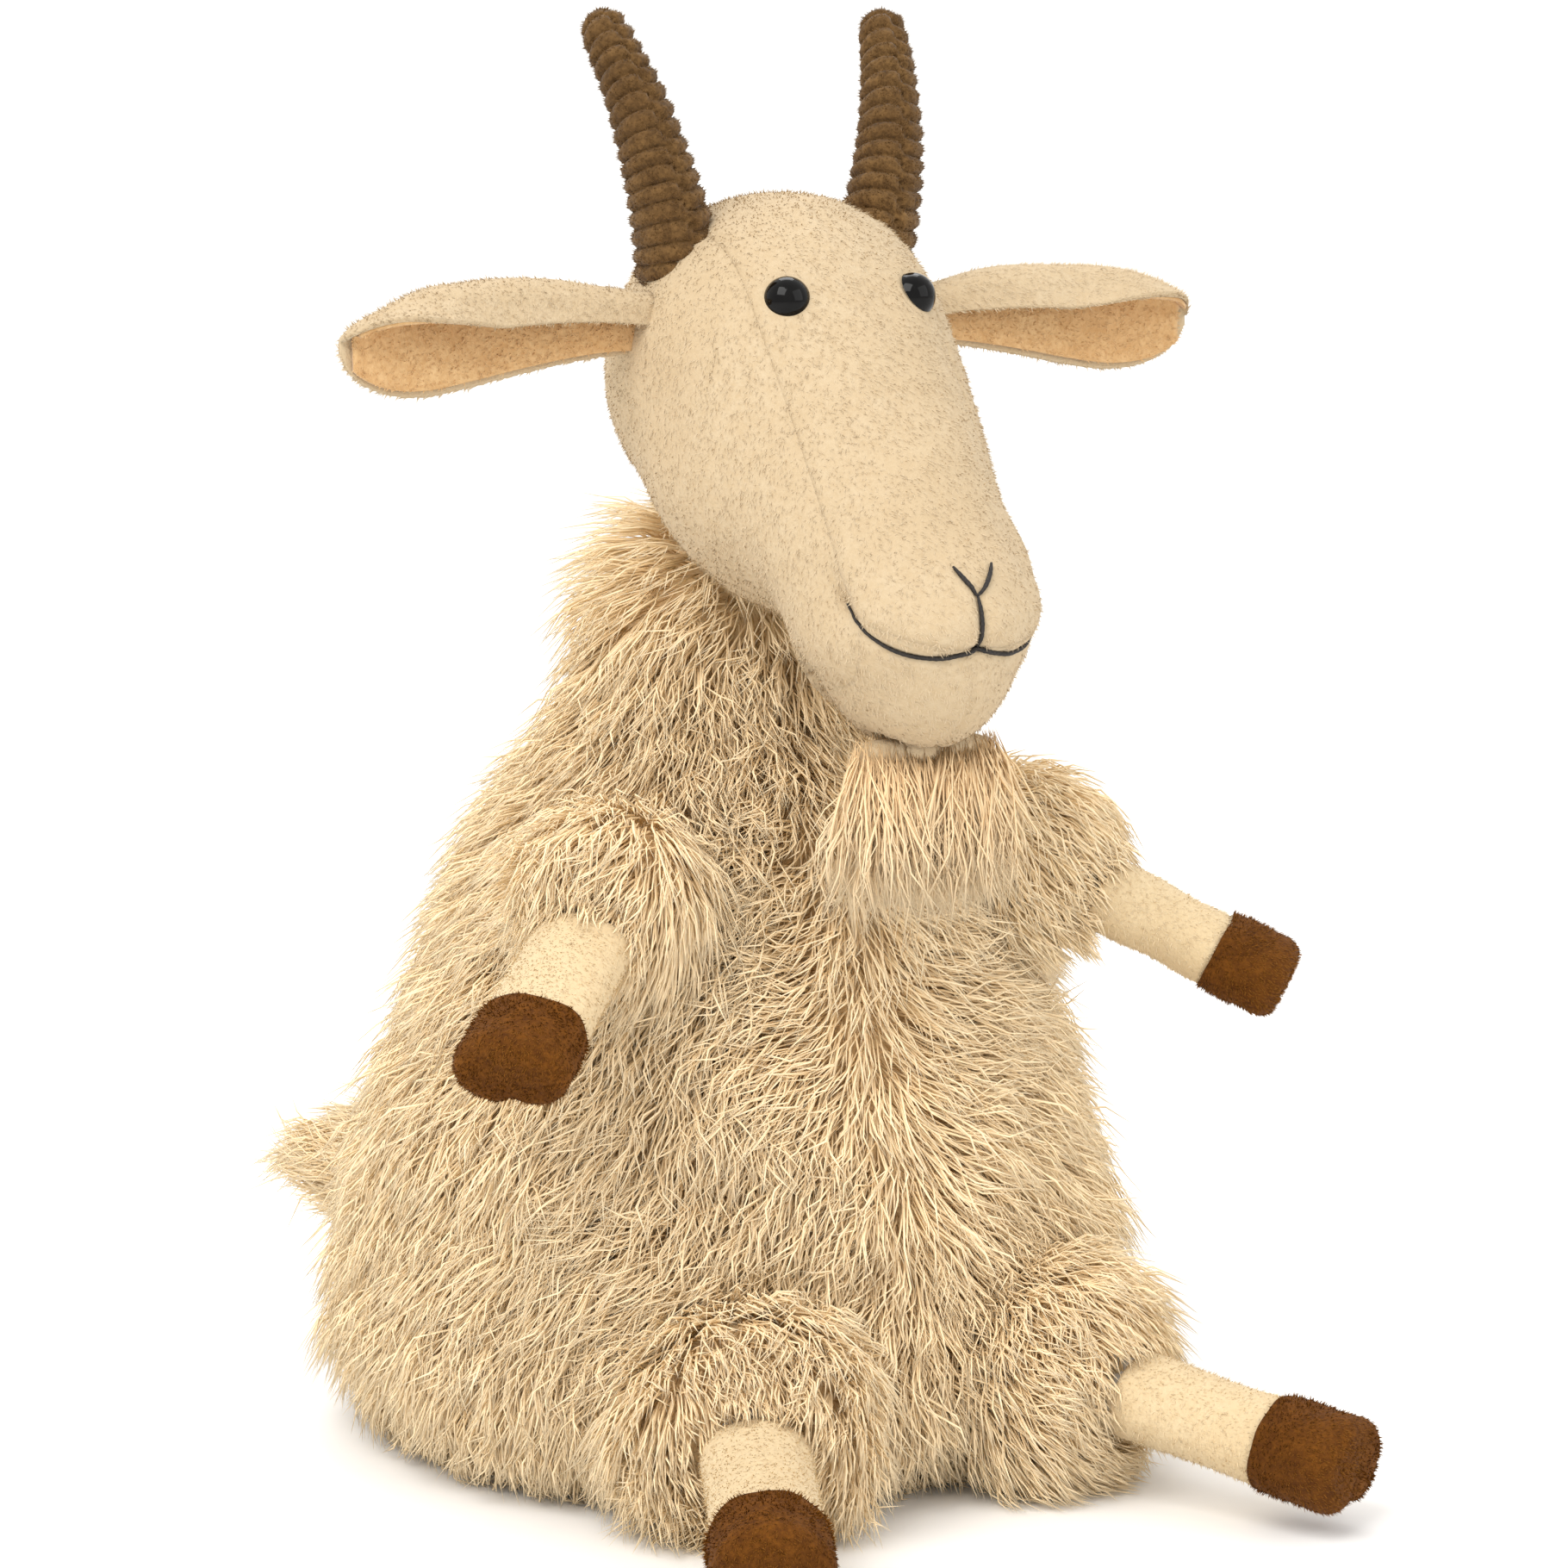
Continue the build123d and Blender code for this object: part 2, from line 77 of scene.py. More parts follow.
# %% Small helpers for places and directions
def pivot(joint):
    """The point that a joint turns about, as an array."""
    return np.array(joints[joint]["pos_m"], float)


def unit(vectors):
    """Vectors divided by their own lengths."""
    vectors = np.asarray(vectors, float)
    return vectors / np.maximum(np.linalg.norm(vectors, axis=-1, keepdims=True), 1e-12)


def box_of(*nodes):
    """Lowest and highest corners of several CAD nodes together."""
    corners = np.array([[list(corner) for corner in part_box(node)] for node in nodes])
    return corners[:, 0].min(0), corners[:, 1].max(0)


def bump_shape(distance, width):
    """A smooth hump: e to the power of minus the squared distance over the squared width."""
    return np.exp(-((distance / width) ** 2))


neck_centre = pivot("head_turn")
print("neck turns about", neck_centre)

# %% [markdown]
# ## Camera
# The goat is looked at from its right front, a little above its head.  A long lens keeps its shape
# true.  The height of the aim is a share of the model's own height, so it follows the model.

# %% Camera
CAMERA_AZIMUTH = math.radians(-30.0)
CAMERA_ELEVATION = math.radians(9.0)
CAMERA_DISTANCE = 1.1
FRAME_WIDTH = 0.366
low, high = (np.array(corner) for corner in cad_box)
model_height = high[2] - low[2]
aim = np.array([0.0122, -0.006, 0.453 * model_height])
back = np.array([
    math.sin(CAMERA_AZIMUTH) * math.cos(CAMERA_ELEVATION),
    -math.cos(CAMERA_AZIMUTH) * math.cos(CAMERA_ELEVATION),
    math.sin(CAMERA_ELEVATION),
])
camera_data = bpy.data.cameras.new("camera")
camera_data.sensor_width = 36.0
camera_data.lens = camera_data.sensor_width * CAMERA_DISTANCE / FRAME_WIDTH
camera_data.clip_start = 0.01
camera = bpy.data.objects.new("camera", camera_data)
camera.location = Vector(aim + CAMERA_DISTANCE * back)
camera.rotation_euler = Vector(-back).to_track_quat("-Z", "Y").to_euler()
bpy.context.scene.collection.objects.link(camera)
bpy.context.scene.camera = camera
print("camera lens in mm:", round(camera_data.lens, 1))


# %% [markdown]
# ## Mesh helpers
# Every new surface is a grid of points worked out by a formula.  One helper turns a grid into faces,
# with its poles closed by fans where a side of the grid has shrunk to a point.

# %% Grids to meshes
def new_object(name, points, faces, material, smooth=True):
    """A mesh object at the origin from points and face arrays, its faces turned to point outwards.

    The volume inside is a sixth of the sum of corner triple products; below zero means inside out."""
    triangles = np.vstack(
        [block[:, [0, k, k + 1]] for block in faces for k in range(1, block.shape[1] - 1)]
    )
    a, b, c = (points[triangles[:, k]] for k in range(3))
    if (a * np.cross(b, c)).sum() < 0:
        faces = [block[:, ::-1] for block in faces]
    mesh = bpy.data.meshes.new(name)
    counts = np.concatenate([np.full(len(block), block.shape[1], np.int32) for block in faces])
    loops = np.concatenate([block.ravel() for block in faces]).astype(np.int32)
    mesh.vertices.add(len(points))
    mesh.vertices.foreach_set("co", np.asarray(points, np.float32).ravel())
    mesh.loops.add(len(loops))
    mesh.loops.foreach_set("vertex_index", loops)
    mesh.polygons.add(len(counts))
    starts = np.concatenate([[0], np.cumsum(counts)[:-1]]).astype(np.int32)
    mesh.polygons.foreach_set("loop_start", starts)
    mesh.update(calc_edges=True)
    mesh.polygons.foreach_set("use_smooth", np.full(len(counts), smooth))
    mesh.validate()
    piece = bpy.data.objects.new(name, mesh)
    bpy.context.scene.collection.objects.link(piece)
    piece.data.materials.append(material)
    return piece


def belongs(piece, body, node=None):
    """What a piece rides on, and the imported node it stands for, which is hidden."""
    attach(piece, body)
    if node is not None:
        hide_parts(node)


def grid_faces(rows, columns, wrap=True):
    """Quads of a grid whose points run row by row; wrap joins the last column to the first."""
    r = np.arange(rows - 1)[:, None]
    c = np.arange(columns if wrap else columns - 1)[None, :]
    nxt = (c + 1) % columns
    quads = np.stack(
        [r * columns + c, r * columns + nxt, (r + 1) * columns + nxt, (r + 1) * columns + c], -1
    )
    return quads.reshape(-1, 4)


def capped_tube(rings):
    """Points and faces of a tube of rings, closed by a fan at each end's middle.

    rings has the shape (rows, columns, 3); it turns anticlockwise as seen from its far end."""
    rows, columns = rings.shape[:2]
    points = np.vstack([rings.reshape(-1, 3), rings[0].mean(0), rings[-1].mean(0)])
    around = np.arange(columns)
    nxt = (around + 1) % columns
    start, end = rows * columns, rows * columns + 1
    near = np.stack([np.full(columns, start), nxt, around], -1)
    last = (rows - 1) * columns
    far = np.stack([np.full(columns, end), last + around, last + nxt], -1)
    return points, [grid_faces(rows, columns), near, far]


def join_parts(parts):
    """Several (points, faces) lists as one list of points and faces."""
    points, faces, count = [], [], 0
    for part_points, part_faces in parts:
        points.append(part_points)
        faces += [block + count for block in part_faces]
        count += len(part_points)
    return np.vstack(points), faces


def circle_round(first, second, turn):
    """Unit ways round a line: the turn's cosine times one cross way, plus its sine times the other."""
    return np.cos(turn)[None, :, None] * first[:, None] + np.sin(turn)[None, :, None] * second[:, None]


def turned_rings(origin, axis, across, profile, columns):
    """Rings of a turned form: each profile pair is (distance along the axis, radius from it)."""
    axis = unit(axis)
    across = unit(np.asarray(across, float) - np.dot(across, axis) * axis)
    up = np.cross(axis, across)
    turn = np.linspace(0, 2 * np.pi, columns, endpoint=False)
    circle = np.cos(turn)[:, None] * across + np.sin(turn)[:, None] * up
    profile = np.asarray(profile, float)
    return origin + profile[:, 0, None, None] * axis + profile[:, 1, None, None] * circle[None]


print("mesh helpers ready")

# %% [markdown]
# ## Finishes
# All the cloth here is matt.  Its colours come from one shader group, which paints nap shade in patches
# and shade in the gaps between tufts.  Single fibres take their colour from a map of their own, from root to
# tip, and a darker root is painted shade.  Cloth reads Object coordinates, so nothing slides when a limb moves.

# %% Colour helper and a material starter
def srgb(red, green, blue):
    """A colour given as 0 to 255 per channel, turned into linear light."""
    channels = np.array([red, green, blue]) / 255.0
    linear = np.where(channels <= 0.04045, channels / 12.92, ((channels + 0.055) / 1.055) ** 2.4)
    return (*[float(c) for c in linear], 1.0)


def start_material(name, roughness, sheen=0.0, coat=0.0, specular=0.12):
    """A Principled material with its constants set on the shader's own sockets."""
    material = bpy.data.materials.new(name)
    material.use_nodes = True
    shader = material.node_tree.nodes["Principled BSDF"]
    shader.inputs["Roughness"].default_value = roughness
    shader.inputs["Sheen Weight"].default_value = sheen
    shader.inputs["Sheen Roughness"].default_value = 0.5
    shader.inputs["Coat Weight"].default_value = coat
    shader.inputs["Specular IOR Level"].default_value = specular
    return material, material.node_tree.nodes, material.node_tree.links, shader


def add_bump(nodes, links, shader, height, strength, distance):
    """Let a height socket lift the shader's surface."""
    bump = nodes.new("ShaderNodeBump")
    bump.inputs["Strength"].default_value = strength
    bump.inputs["Distance"].default_value = distance
    links.new(height, bump.inputs["Height"])
    links.new(bump.outputs["Normal"], shader.inputs["Normal"])


# %% Shader group: pile
def group_with(name, inputs, outputs):
    """An empty shader group with named sockets: inputs are (name, kind, default)."""
    group = bpy.data.node_groups.new(name, "ShaderNodeTree")
    for label, kind, default in inputs:
        socket = group.interface.new_socket(label, in_out="INPUT", socket_type=kind)
        if default is not None:
            socket.default_value = default
    for label, kind in outputs:
        group.interface.new_socket(label, in_out="OUTPUT", socket_type=kind)
    return group, group.nodes.new("NodeGroupInput"), group.nodes.new("NodeGroupOutput")


def mix_colour(nodes, links, factor, first, second, blend="MIX"):
    """A colour mix node; factor, first and second are sockets or plain values."""
    mix = nodes.new("ShaderNodeMix")
    mix.data_type = "RGBA"
    mix.blend_type = blend
    for socket, value in ((mix.inputs[0], factor), (mix.inputs[6], first), (mix.inputs[7], second)):
        if isinstance(value, bpy.types.NodeSocket):
            links.new(value, socket)
        else:
            socket.default_value = value
    return mix.outputs[2]


def noise(nodes, links, where, scale, detail=3.0, roughness=0.6):
    """A noise texture's 0 to 1 value at given coordinates."""
    texture = nodes.new("ShaderNodeTexNoise")
    texture.inputs["Scale"].default_value = scale
    texture.inputs["Detail"].default_value = detail
    texture.inputs["Roughness"].default_value = roughness
    links.new(where, texture.inputs["Vector"])
    return texture.outputs["Fac"]


def spread(nodes, links, value, low_in, high_in):
    """A value stretched so that low_in becomes 0 and high_in becomes 1, and clamped."""
    ranger = nodes.new("ShaderNodeMapRange")
    ranger.inputs["From Min"].default_value = low_in
    ranger.inputs["From Max"].default_value = high_in
    links.new(value, ranger.inputs["Value"])
    return ranger.outputs["Result"]


def build_pile_group():
    """Short pile: painted nap shade in patches, painted shade in the gaps between tufts, and tuft height."""
    group, source, sink = group_with(
        "short_pile",
        [
            ("Tip Colour", "NodeSocketColor", (0.8, 0.8, 0.8, 1)),
            ("Gap Shade Colour", "NodeSocketColor", (0.4, 0.4, 0.4, 1)),
            ("Nap Shade Colour", "NodeSocketColor", (0.7, 0.7, 0.7, 1)),
        ],
        [("Colour", "NodeSocketColor"), ("Height", "NodeSocketFloat")],
    )
    nodes, links = group.nodes, group.links
    where = nodes.new("ShaderNodeTexCoord").outputs["Object"]
    tufts = spread(nodes, links, noise(nodes, links, where, 900.0, 2.0, 0.7), 0.36, 0.62)
    clumps = spread(nodes, links, noise(nodes, links, where, 260.0, 3.0, 0.65), 0.35, 0.68)
    patches = spread(nodes, links, noise(nodes, links, where, 38.0, 3.0, 0.55), 0.38, 0.66)
    tuft_height_and_gap_shade = nodes.new("ShaderNodeMath")
    tuft_height_and_gap_shade.operation = "MULTIPLY_ADD"
    links.new(clumps, tuft_height_and_gap_shade.inputs[0])
    tuft_height_and_gap_shade.inputs[1].default_value = 0.55
    half = nodes.new("ShaderNodeMath")
    half.operation = "MULTIPLY"
    links.new(tufts, half.inputs[0])
    half.inputs[1].default_value = 0.45
    links.new(half.outputs[0], tuft_height_and_gap_shade.inputs[2])
    # Nap patches mix in painted nap shade; the low places between tufts take the painted gap shade.
    base = mix_colour(nodes, links, patches, source.outputs["Tip Colour"], source.outputs["Nap Shade Colour"])
    colour = mix_colour(nodes, links, tuft_height_and_gap_shade.outputs[0], source.outputs["Gap Shade Colour"], base)
    links.new(colour, sink.inputs["Colour"])
    links.new(tuft_height_and_gap_shade.outputs[0], sink.inputs["Height"])
    return group


pile_group = build_pile_group()


def plush_material(name, tip, root, nap, roughness=0.85, sheen=0.25, depth=0.35):
    """Short-pile plush: the pile group colours it and lifts its surface; root is painted shade between tufts,
    nap is painted nap shade.
    """
    material, nodes, links, shader = start_material(name, roughness, sheen)
    pile = nodes.new("ShaderNodeGroup")
    pile.node_tree = pile_group
    pile.inputs["Tip Colour"].default_value = tip
    pile.inputs["Gap Shade Colour"].default_value = root
    pile.inputs["Nap Shade Colour"].default_value = nap
    links.new(pile.outputs["Colour"], shader.inputs["Base Color"])
    add_bump(nodes, links, shader, pile.outputs["Height"], depth, 0.6 * MM)
    return material


def strand_material(name, root, middle, tip, dark_share=0.2, roughness=0.62):
    """Fibre colour from the strand's own map: v runs from root to tip, a darker root being painted shade deep
    in the pile; u is the strand's shade.
    """
    material, nodes, links, shader = start_material(name, roughness)
    where = nodes.new("ShaderNodeUVMap")
    where.uv_map = "OFBake"
    parts = nodes.new("ShaderNodeSeparateXYZ")
    links.new(where.outputs["UV"], parts.inputs["Vector"])
    ramp = nodes.new("ShaderNodeValToRGB")
    ramp.color_ramp.elements[0].color = root
    ramp.color_ramp.elements[0].position = 0.05
    ramp.color_ramp.elements[1].color = tip
    ramp.color_ramp.elements[1].position = 0.95
    ramp.color_ramp.elements.new(0.45).color = middle
    links.new(parts.outputs["Y"], ramp.inputs["Fac"])
    shade = nodes.new("ShaderNodeMapRange")
    shade.inputs["To Min"].default_value = dark_share
    shade.inputs["To Max"].default_value = 0.0
    links.new(parts.outputs["X"], shade.inputs["Value"])
    colour = mix_colour(nodes, links, shade.outputs["Result"], ramp.outputs["Color"], root)
    links.new(colour, shader.inputs["Base Color"])
    return material


FUR_ROOT, FUR_MIDDLE, FUR_TIP = srgb(255, 225, 178), srgb(253, 229, 187), srgb(251, 231, 196)
# Plush colours are the tip, then painted shade between tufts, then painted nap shade.
cream_plush = plush_material(
    "cream_plush", srgb(197, 178, 148), srgb(188, 166, 133), srgb(192, 171, 139), sheen=0.08, depth=0.4
)
limb_plush = plush_material(
    "limb_plush", srgb(220, 200, 164), srgb(210, 187, 148), srgb(215, 193, 155), sheen=0.08
)
lining_plush = plush_material(
    "lining_plush", srgb(216, 182, 134), srgb(192, 150, 100), srgb(208, 170, 122), depth=0.2
)
hoof_plush = plush_material("hoof_plush", srgb(120, 72, 18), srgb(74, 40, 8), srgb(102, 60, 14), sheen=0.02)
cord_plush = plush_material(
    "cord_plush", srgb(122, 92, 54), srgb(66, 45, 20), srgb(106, 78, 44), sheen=0.12
)
backing = plush_material("fur_backing", srgb(252, 226, 180), srgb(238, 202, 148), srgb(246, 214, 164))
base_cloth = plush_material(
    "base_cloth", srgb(214, 184, 140), srgb(170, 136, 92), srgb(204, 172, 126), depth=0.2
)
filling = plush_material("fibre_fill", srgb(244, 242, 236), srgb(205, 202, 196), srgb(232, 230, 224))
cotton = plush_material(
    "pouch_cotton", srgb(226, 220, 204), srgb(190, 182, 164), srgb(216, 208, 190), depth=0.15
)
pellet_resin = plush_material(
    "pellet_resin", srgb(236, 236, 230), srgb(206, 206, 200), srgb(228, 228, 222), 0.4, 0.0, 0.1
)
closing_cotton = plush_material(
    "closing_cotton", srgb(220, 190, 150), srgb(170, 130, 90), srgb(205, 170, 126)
)
# A fibre's root colour, where darker than its tip, is painted shade deep in the pile.
fur_fibre = strand_material("fur_fibre", FUR_ROOT, FUR_MIDDLE, FUR_TIP)
beard_fibre = strand_material("beard_fibre", srgb(244, 210, 162), srgb(240, 214, 173), srgb(238, 217, 182))
cream_nap = strand_material("cream_nap", srgb(195, 174, 142), srgb(198, 179, 149), srgb(204, 186, 157), 0.1)
limb_nap = strand_material("limb_nap", srgb(216, 195, 158), srgb(221, 202, 168), srgb(226, 209, 177), 0.1)
horn_nap = strand_material("horn_nap", srgb(80, 56, 27), srgb(114, 85, 50), srgb(140, 109, 71), 0.5)
lining_nap = strand_material(
    "lining_nap", srgb(194, 154, 106), srgb(212, 176, 128), srgb(226, 194, 148), 0.3
)
# The hoof nap's light tips are also a painted highlight of the velour's sheen.
hoof_nap = strand_material("hoof_nap", srgb(78, 44, 8), srgb(116, 71, 18), srgb(152, 100, 38), 0.5)


def smooth_material(name, colour, speck, roughness, coat=0.0, scale=600.0, depth=0.1, gloss=0.5):
    """Moulded plastic or thread: a colour with faint specks and a faint unevenness."""
    material, nodes, links, shader = start_material(name, roughness, 0.0, coat, gloss)
    shader.inputs["Coat Roughness"].default_value = 0.03
    where = nodes.new("ShaderNodeTexCoord").outputs["Object"]
    specks = spread(nodes, links, noise(nodes, links, where, scale), 0.4, 0.7)
    links.new(mix_colour(nodes, links, specks, colour, speck), shader.inputs["Base Color"])
    add_bump(nodes, links, shader, specks, depth, 0.1 * MM)
    return material


eye_black = smooth_material("eye_black", srgb(6, 5, 5), srgb(10, 9, 8), 0.1, 0.06, depth=0.01, gloss=0.15)
washer_white = smooth_material("washer_white", srgb(226, 226, 222), srgb(206, 206, 202), 0.45)
black_thread = smooth_material(
    "black_thread", srgb(20, 17, 16), srgb(52, 44, 38), 0.7, scale=2500.0, depth=0.6
)
print("materials:", len(bpy.data.materials))

# %% [markdown]
# ## The studio
# A pale sweep of paper runs under the goat and up behind it.  One large lamp hangs over its right
# front, a wide weak one fills from the other side, a third lights it from behind, and the room itself
# glows, so shadows stay soft.

# %% Paper sweep and lamps
FLOOR_HALF_WIDTH, FLOOR_FRONT, FLOOR_BACK, WALL_TOP = 4.0, -3.0, 1.6, 3.0
sweep_turn = np.linspace(0, np.pi / 2, 16)
sweep_radius = 1.2
line_y = np.concatenate(
    [[FLOOR_FRONT], FLOOR_BACK + sweep_radius * np.sin(sweep_turn), [FLOOR_BACK + sweep_radius]]
)
line_z = np.concatenate([[0.0], sweep_radius * (1 - np.cos(sweep_turn)), [WALL_TOP]])
paper_points = np.stack(
    [
        np.stack([np.full_like(line_y, x), line_y, line_z], -1)
        for x in (FLOOR_HALF_WIDTH, -FLOOR_HALF_WIDTH)
    ],
    1,
)
paper_material, _, _, paper_shader = start_material("white_paper", 0.9, specular=0.1)
paper_shader.inputs["Base Color"].default_value = (0.93, 0.925, 0.915, 1.0)
paper = new_object(
    "paper_sweep", paper_points.reshape(-1, 3), [grid_faces(len(line_y), 2, wrap=False)], paper_material
)
paper.rotation_euler.z = CAMERA_AZIMUTH


def softbox(name, azimuth, elevation, distance, size, power, tint=(1.0, 1.0, 1.0)):
    """A square lamp aimed at the goat's middle from a heading and a height, in degrees."""
    a, e = math.radians(azimuth), math.radians(elevation)
    away = Vector((math.sin(a) * math.cos(e), -math.cos(a) * math.cos(e), math.sin(e)))
    lamp_data = bpy.data.lights.new(name, "AREA")
    lamp_data.size = size
    lamp_data.energy = power
    lamp_data.color = tint
    lamp = bpy.data.objects.new(name, lamp_data)
    lamp.location = Vector((0, 0, 0.16)) + distance * away
    lamp.rotation_euler = (-away).to_track_quat("-Z", "Y").to_euler()
    bpy.context.scene.collection.objects.link(lamp)


softbox("key_lamp", -62, 48, 1.7, 1.1, 20.0, (1.0, 0.985, 0.96))
softbox("fill_lamp", 30, 25, 2.0, 1.6, 10.0)
softbox("rim_lamp", 150, 50, 1.9, 1.0, 10.0)
world = bpy.data.worlds.new("studio_room")
world.use_nodes = True
world.node_tree.nodes["Background"].inputs["Color"].default_value = (1.0, 0.99, 0.975, 1.0)
world.node_tree.nodes["Background"].inputs["Strength"].default_value = 0.98
bpy.context.scene.world = world
bpy.context.scene.view_settings.view_transform = "Standard"


# %% [markdown]
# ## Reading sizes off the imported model
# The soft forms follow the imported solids.  A ray cast from the side reads the torso's radius at each
# height, and the vertices of a limb's solid give how far it reaches along the limb and across it.

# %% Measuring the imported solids
def points_of(*nodes):
    """All vertices of some CAD nodes as one array."""
    blocks = []
    for node in nodes:
        mesh = frame["nodes"][node].data
        flat = np.empty(len(mesh.vertices) * 3, np.float32)
        mesh.vertices.foreach_get("co", flat)
        blocks.append(flat.reshape(-1, 3))
    return np.vstack(blocks).astype(float)


def measure_along(node, origin, axis, across):
    """Start, end, half width and half height of a node along an axis from origin."""
    up = np.cross(axis, across)
    rel = points_of(node) - origin
    station = rel @ axis
    return station.min(), station.max(), np.abs(rel @ across).max(), np.abs(rel @ up).max()


def tree_of(piece):
    """A ray-casting tree of one object's mesh."""
    mesh = piece.data
    flat = np.empty(len(mesh.vertices) * 3, np.float32)
    mesh.vertices.foreach_get("co", flat)
    return BVHTree.FromPolygons(flat.reshape(-1, 3).tolist(), [tuple(p.vertices) for p in mesh.polygons])


cover_tree = tree_of(frame["nodes"]["body_left_cover"])
neck_radius = -float((points_of("body_left_cover", "body_right_cover") @ [0, 0, -1]).min()) - neck_centre[2]
levels = np.linspace(0.6 * MM, neck_centre[2], 90)
hits = [cover_tree.ray_cast(Vector((0.3, 0.0002, z)), Vector((-1, 0, 0)))[0] for z in levels]
level_radii = np.array([hit.x for hit in hits])


def torso_line(inset, count=100):
    """Height and radius up the torso's side: the read radius less inset, then the neck's round top."""
    low_z = np.linspace(0.002, neck_centre[2], count)
    low_r = np.interp(low_z, levels, level_radii) - inset
    turn = np.linspace(0.04, np.pi / 2 - 0.02, 24)
    top_z = neck_centre[2] + (neck_radius - inset) * np.sin(turn)
    top_r = (neck_radius - inset) * np.cos(turn)
    return np.stack([np.concatenate([low_z, top_z]), np.concatenate([low_r, top_r])], -1)


print("neck radius mm:", round(neck_radius / MM, 1), " widest mm:", round(level_radii.max() / MM, 1))


# %% [markdown]
# ## A little smooth noise
# Hand-stuffed cloth is never even.  This noise adds fourteen long sine waves of random headings, which
# is smooth everywhere and costs nothing.

# %% Smooth noise
def soft_noise(points, size, seed, waves=14):
    """Mean of sine waves with random headings and phases; size is about one wave's length."""
    chance = np.random.default_rng(seed)
    headings = unit(chance.normal(size=(waves, 3))) * chance.uniform(0.6, 1.6, (waves, 1))
    phases = chance.uniform(0, 2 * np.pi, waves)
    return np.sin(points @ headings.T * (2 * np.pi / size) + phases).mean(-1) * 2.2


# %% [markdown]
# ## The body's skin and what it holds
# Under the fur is a knitted backing in a left and a right half.  Each half is a sheet with an outer and
# an inner face, joined by walls along its edges, so it is a closed piece.

# %% Thick sheets
def thick_sheet(outer, inner):
    """Points and faces of a closed sheet between two grids of the same shape (rows, columns, 3)."""
    rows, columns = outer.shape[:2]
    count = rows * columns
    points = np.vstack([outer.reshape(-1, 3), inner.reshape(-1, 3)])
    face = grid_faces(rows, columns, wrap=False)
    index = np.arange(count).reshape(rows, columns)
    edge = np.concatenate([index[0, :-1], index[:-1, -1], index[-1, :0:-1], index[:0:-1, 0]])
    nxt = np.roll(edge, -1)
    walls = np.stack([nxt, edge, edge + count, nxt + count], -1)
    return points, [face, face[:, ::-1] + count, walls]


PILE_DEPTH = 9.0 * MM
SKIN = 1.4 * MM


def torso_half(inset, start, end, columns=60):
    """A grid on the torso's skin between two angles about the upright axis, from the base up."""
    line = torso_line(inset)
    turn = np.linspace(start, end, columns)
    points = np.stack([
        line[:, 1, None] * np.cos(turn),
        line[:, 1, None] * np.sin(turn),
        np.broadcast_to(line[:, 0, None], (len(line), columns)),
    ], -1)
    puff = 0.9 * MM * soft_noise(points, 0.06, 5)
    out = unit(points * [1, 1, 0])
    return points + puff[..., None] * out


for side, start in (("left", -np.pi / 2), ("right", np.pi / 2)):
    outer = torso_half(PILE_DEPTH, start, start + np.pi)
    inner = torso_half(PILE_DEPTH + SKIN, start, start + np.pi)
    points, faces = thick_sheet(outer, inner)
    skin = new_object(f"body_{side}_skin", points, faces, backing)
    belongs(skin, "torso", f"body_{side}_cover")

line = torso_line(PILE_DEPTH + 2 * SKIN, 60)
rings = turned_rings(np.zeros(3), [0, 0, 1], [1, 0, 0], line, 96)
rings += (1.2 * MM * soft_noise(rings, 0.035, 8))[..., None] * unit(rings * [1, 1, 0])
points, faces = capped_tube(rings)
fill_piece = new_object("body_fibre_fill", points, faces, filling)
belongs(fill_piece, "torso", "body_stuffing")
print("torso skins made;", len(points), "points in the fill")

# %% [markdown]
# ## The base panel and the pellet pouch
# The flat base is one disc of knitted cloth with a rounded, stitched rim.  The pouch above it is a
# pillow of cotton: it is fullest in the middle and creased at its rim, and its pellets press dents
# into it.

# %% Base panel and pouch
panel_low, panel_high = box_of("base_panel")
panel_radius = panel_high[0]
step = np.linspace(0, 1, 12)
rim = 0.9 * MM
rim_inset = 0.015 * panel_radius
panel_line = np.concatenate([
    np.stack([np.full(20, 0.0), np.linspace(0.02, 0.985, 20) * panel_radius], -1),
    np.stack([rim * (1 - np.cos(np.pi * step)), panel_radius - rim_inset * (1 - np.sin(np.pi * step))], -1),
    np.stack([np.full(20, 2 * rim), np.linspace(0.985, 0.02, 20) * panel_radius], -1),
])
points, faces = capped_tube(turned_rings(np.zeros(3), [0, 0, 1], [1, 0, 0], panel_line, 120))
panel = new_object("base_disc", points, faces, base_cloth)
belongs(panel, "torso", "base_panel")


def pillow(node, name, material, shrink, seed):
    """A flat round pillow: its half thickness falls as the square root of one minus radius squared."""
    low_corner, high_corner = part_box(node)
    radius = (high_corner.x - low_corner.x) / 2 - shrink
    half = (high_corner.z - low_corner.z) / 2 - shrink
    middle = (high_corner.z + low_corner.z) / 2
    turn = np.linspace(-np.pi / 2 + 0.03, np.pi / 2 - 0.03, 60)
    line = np.stack(
        [middle + half * np.sign(turn) * np.abs(np.sin(turn)) ** 0.8, radius * np.cos(turn) ** 0.7], -1
    )
    rings = turned_rings(np.zeros(3), [0, 0, 1], [1, 0, 0], line, 110)
    dents = soft_noise(rings, 0.007, seed) + 0.6 * soft_noise(rings, 0.02, seed + 1)
    rings -= 0.35 * MM * np.abs(dents)[..., None] * unit(rings - [0, 0, middle])
    points, faces = capped_tube(rings)
    piece = new_object(name, points, faces, material)
    belongs(piece, "torso", node)
    return piece


pillow("pellet_pouch", "pellet_bag", cotton, 0.0, 21)
pillow("pellet_fill", "pellet_heap", pellet_resin, 0.3 * MM, 31)
print("base panel radius mm:", round(panel_radius / MM, 1))

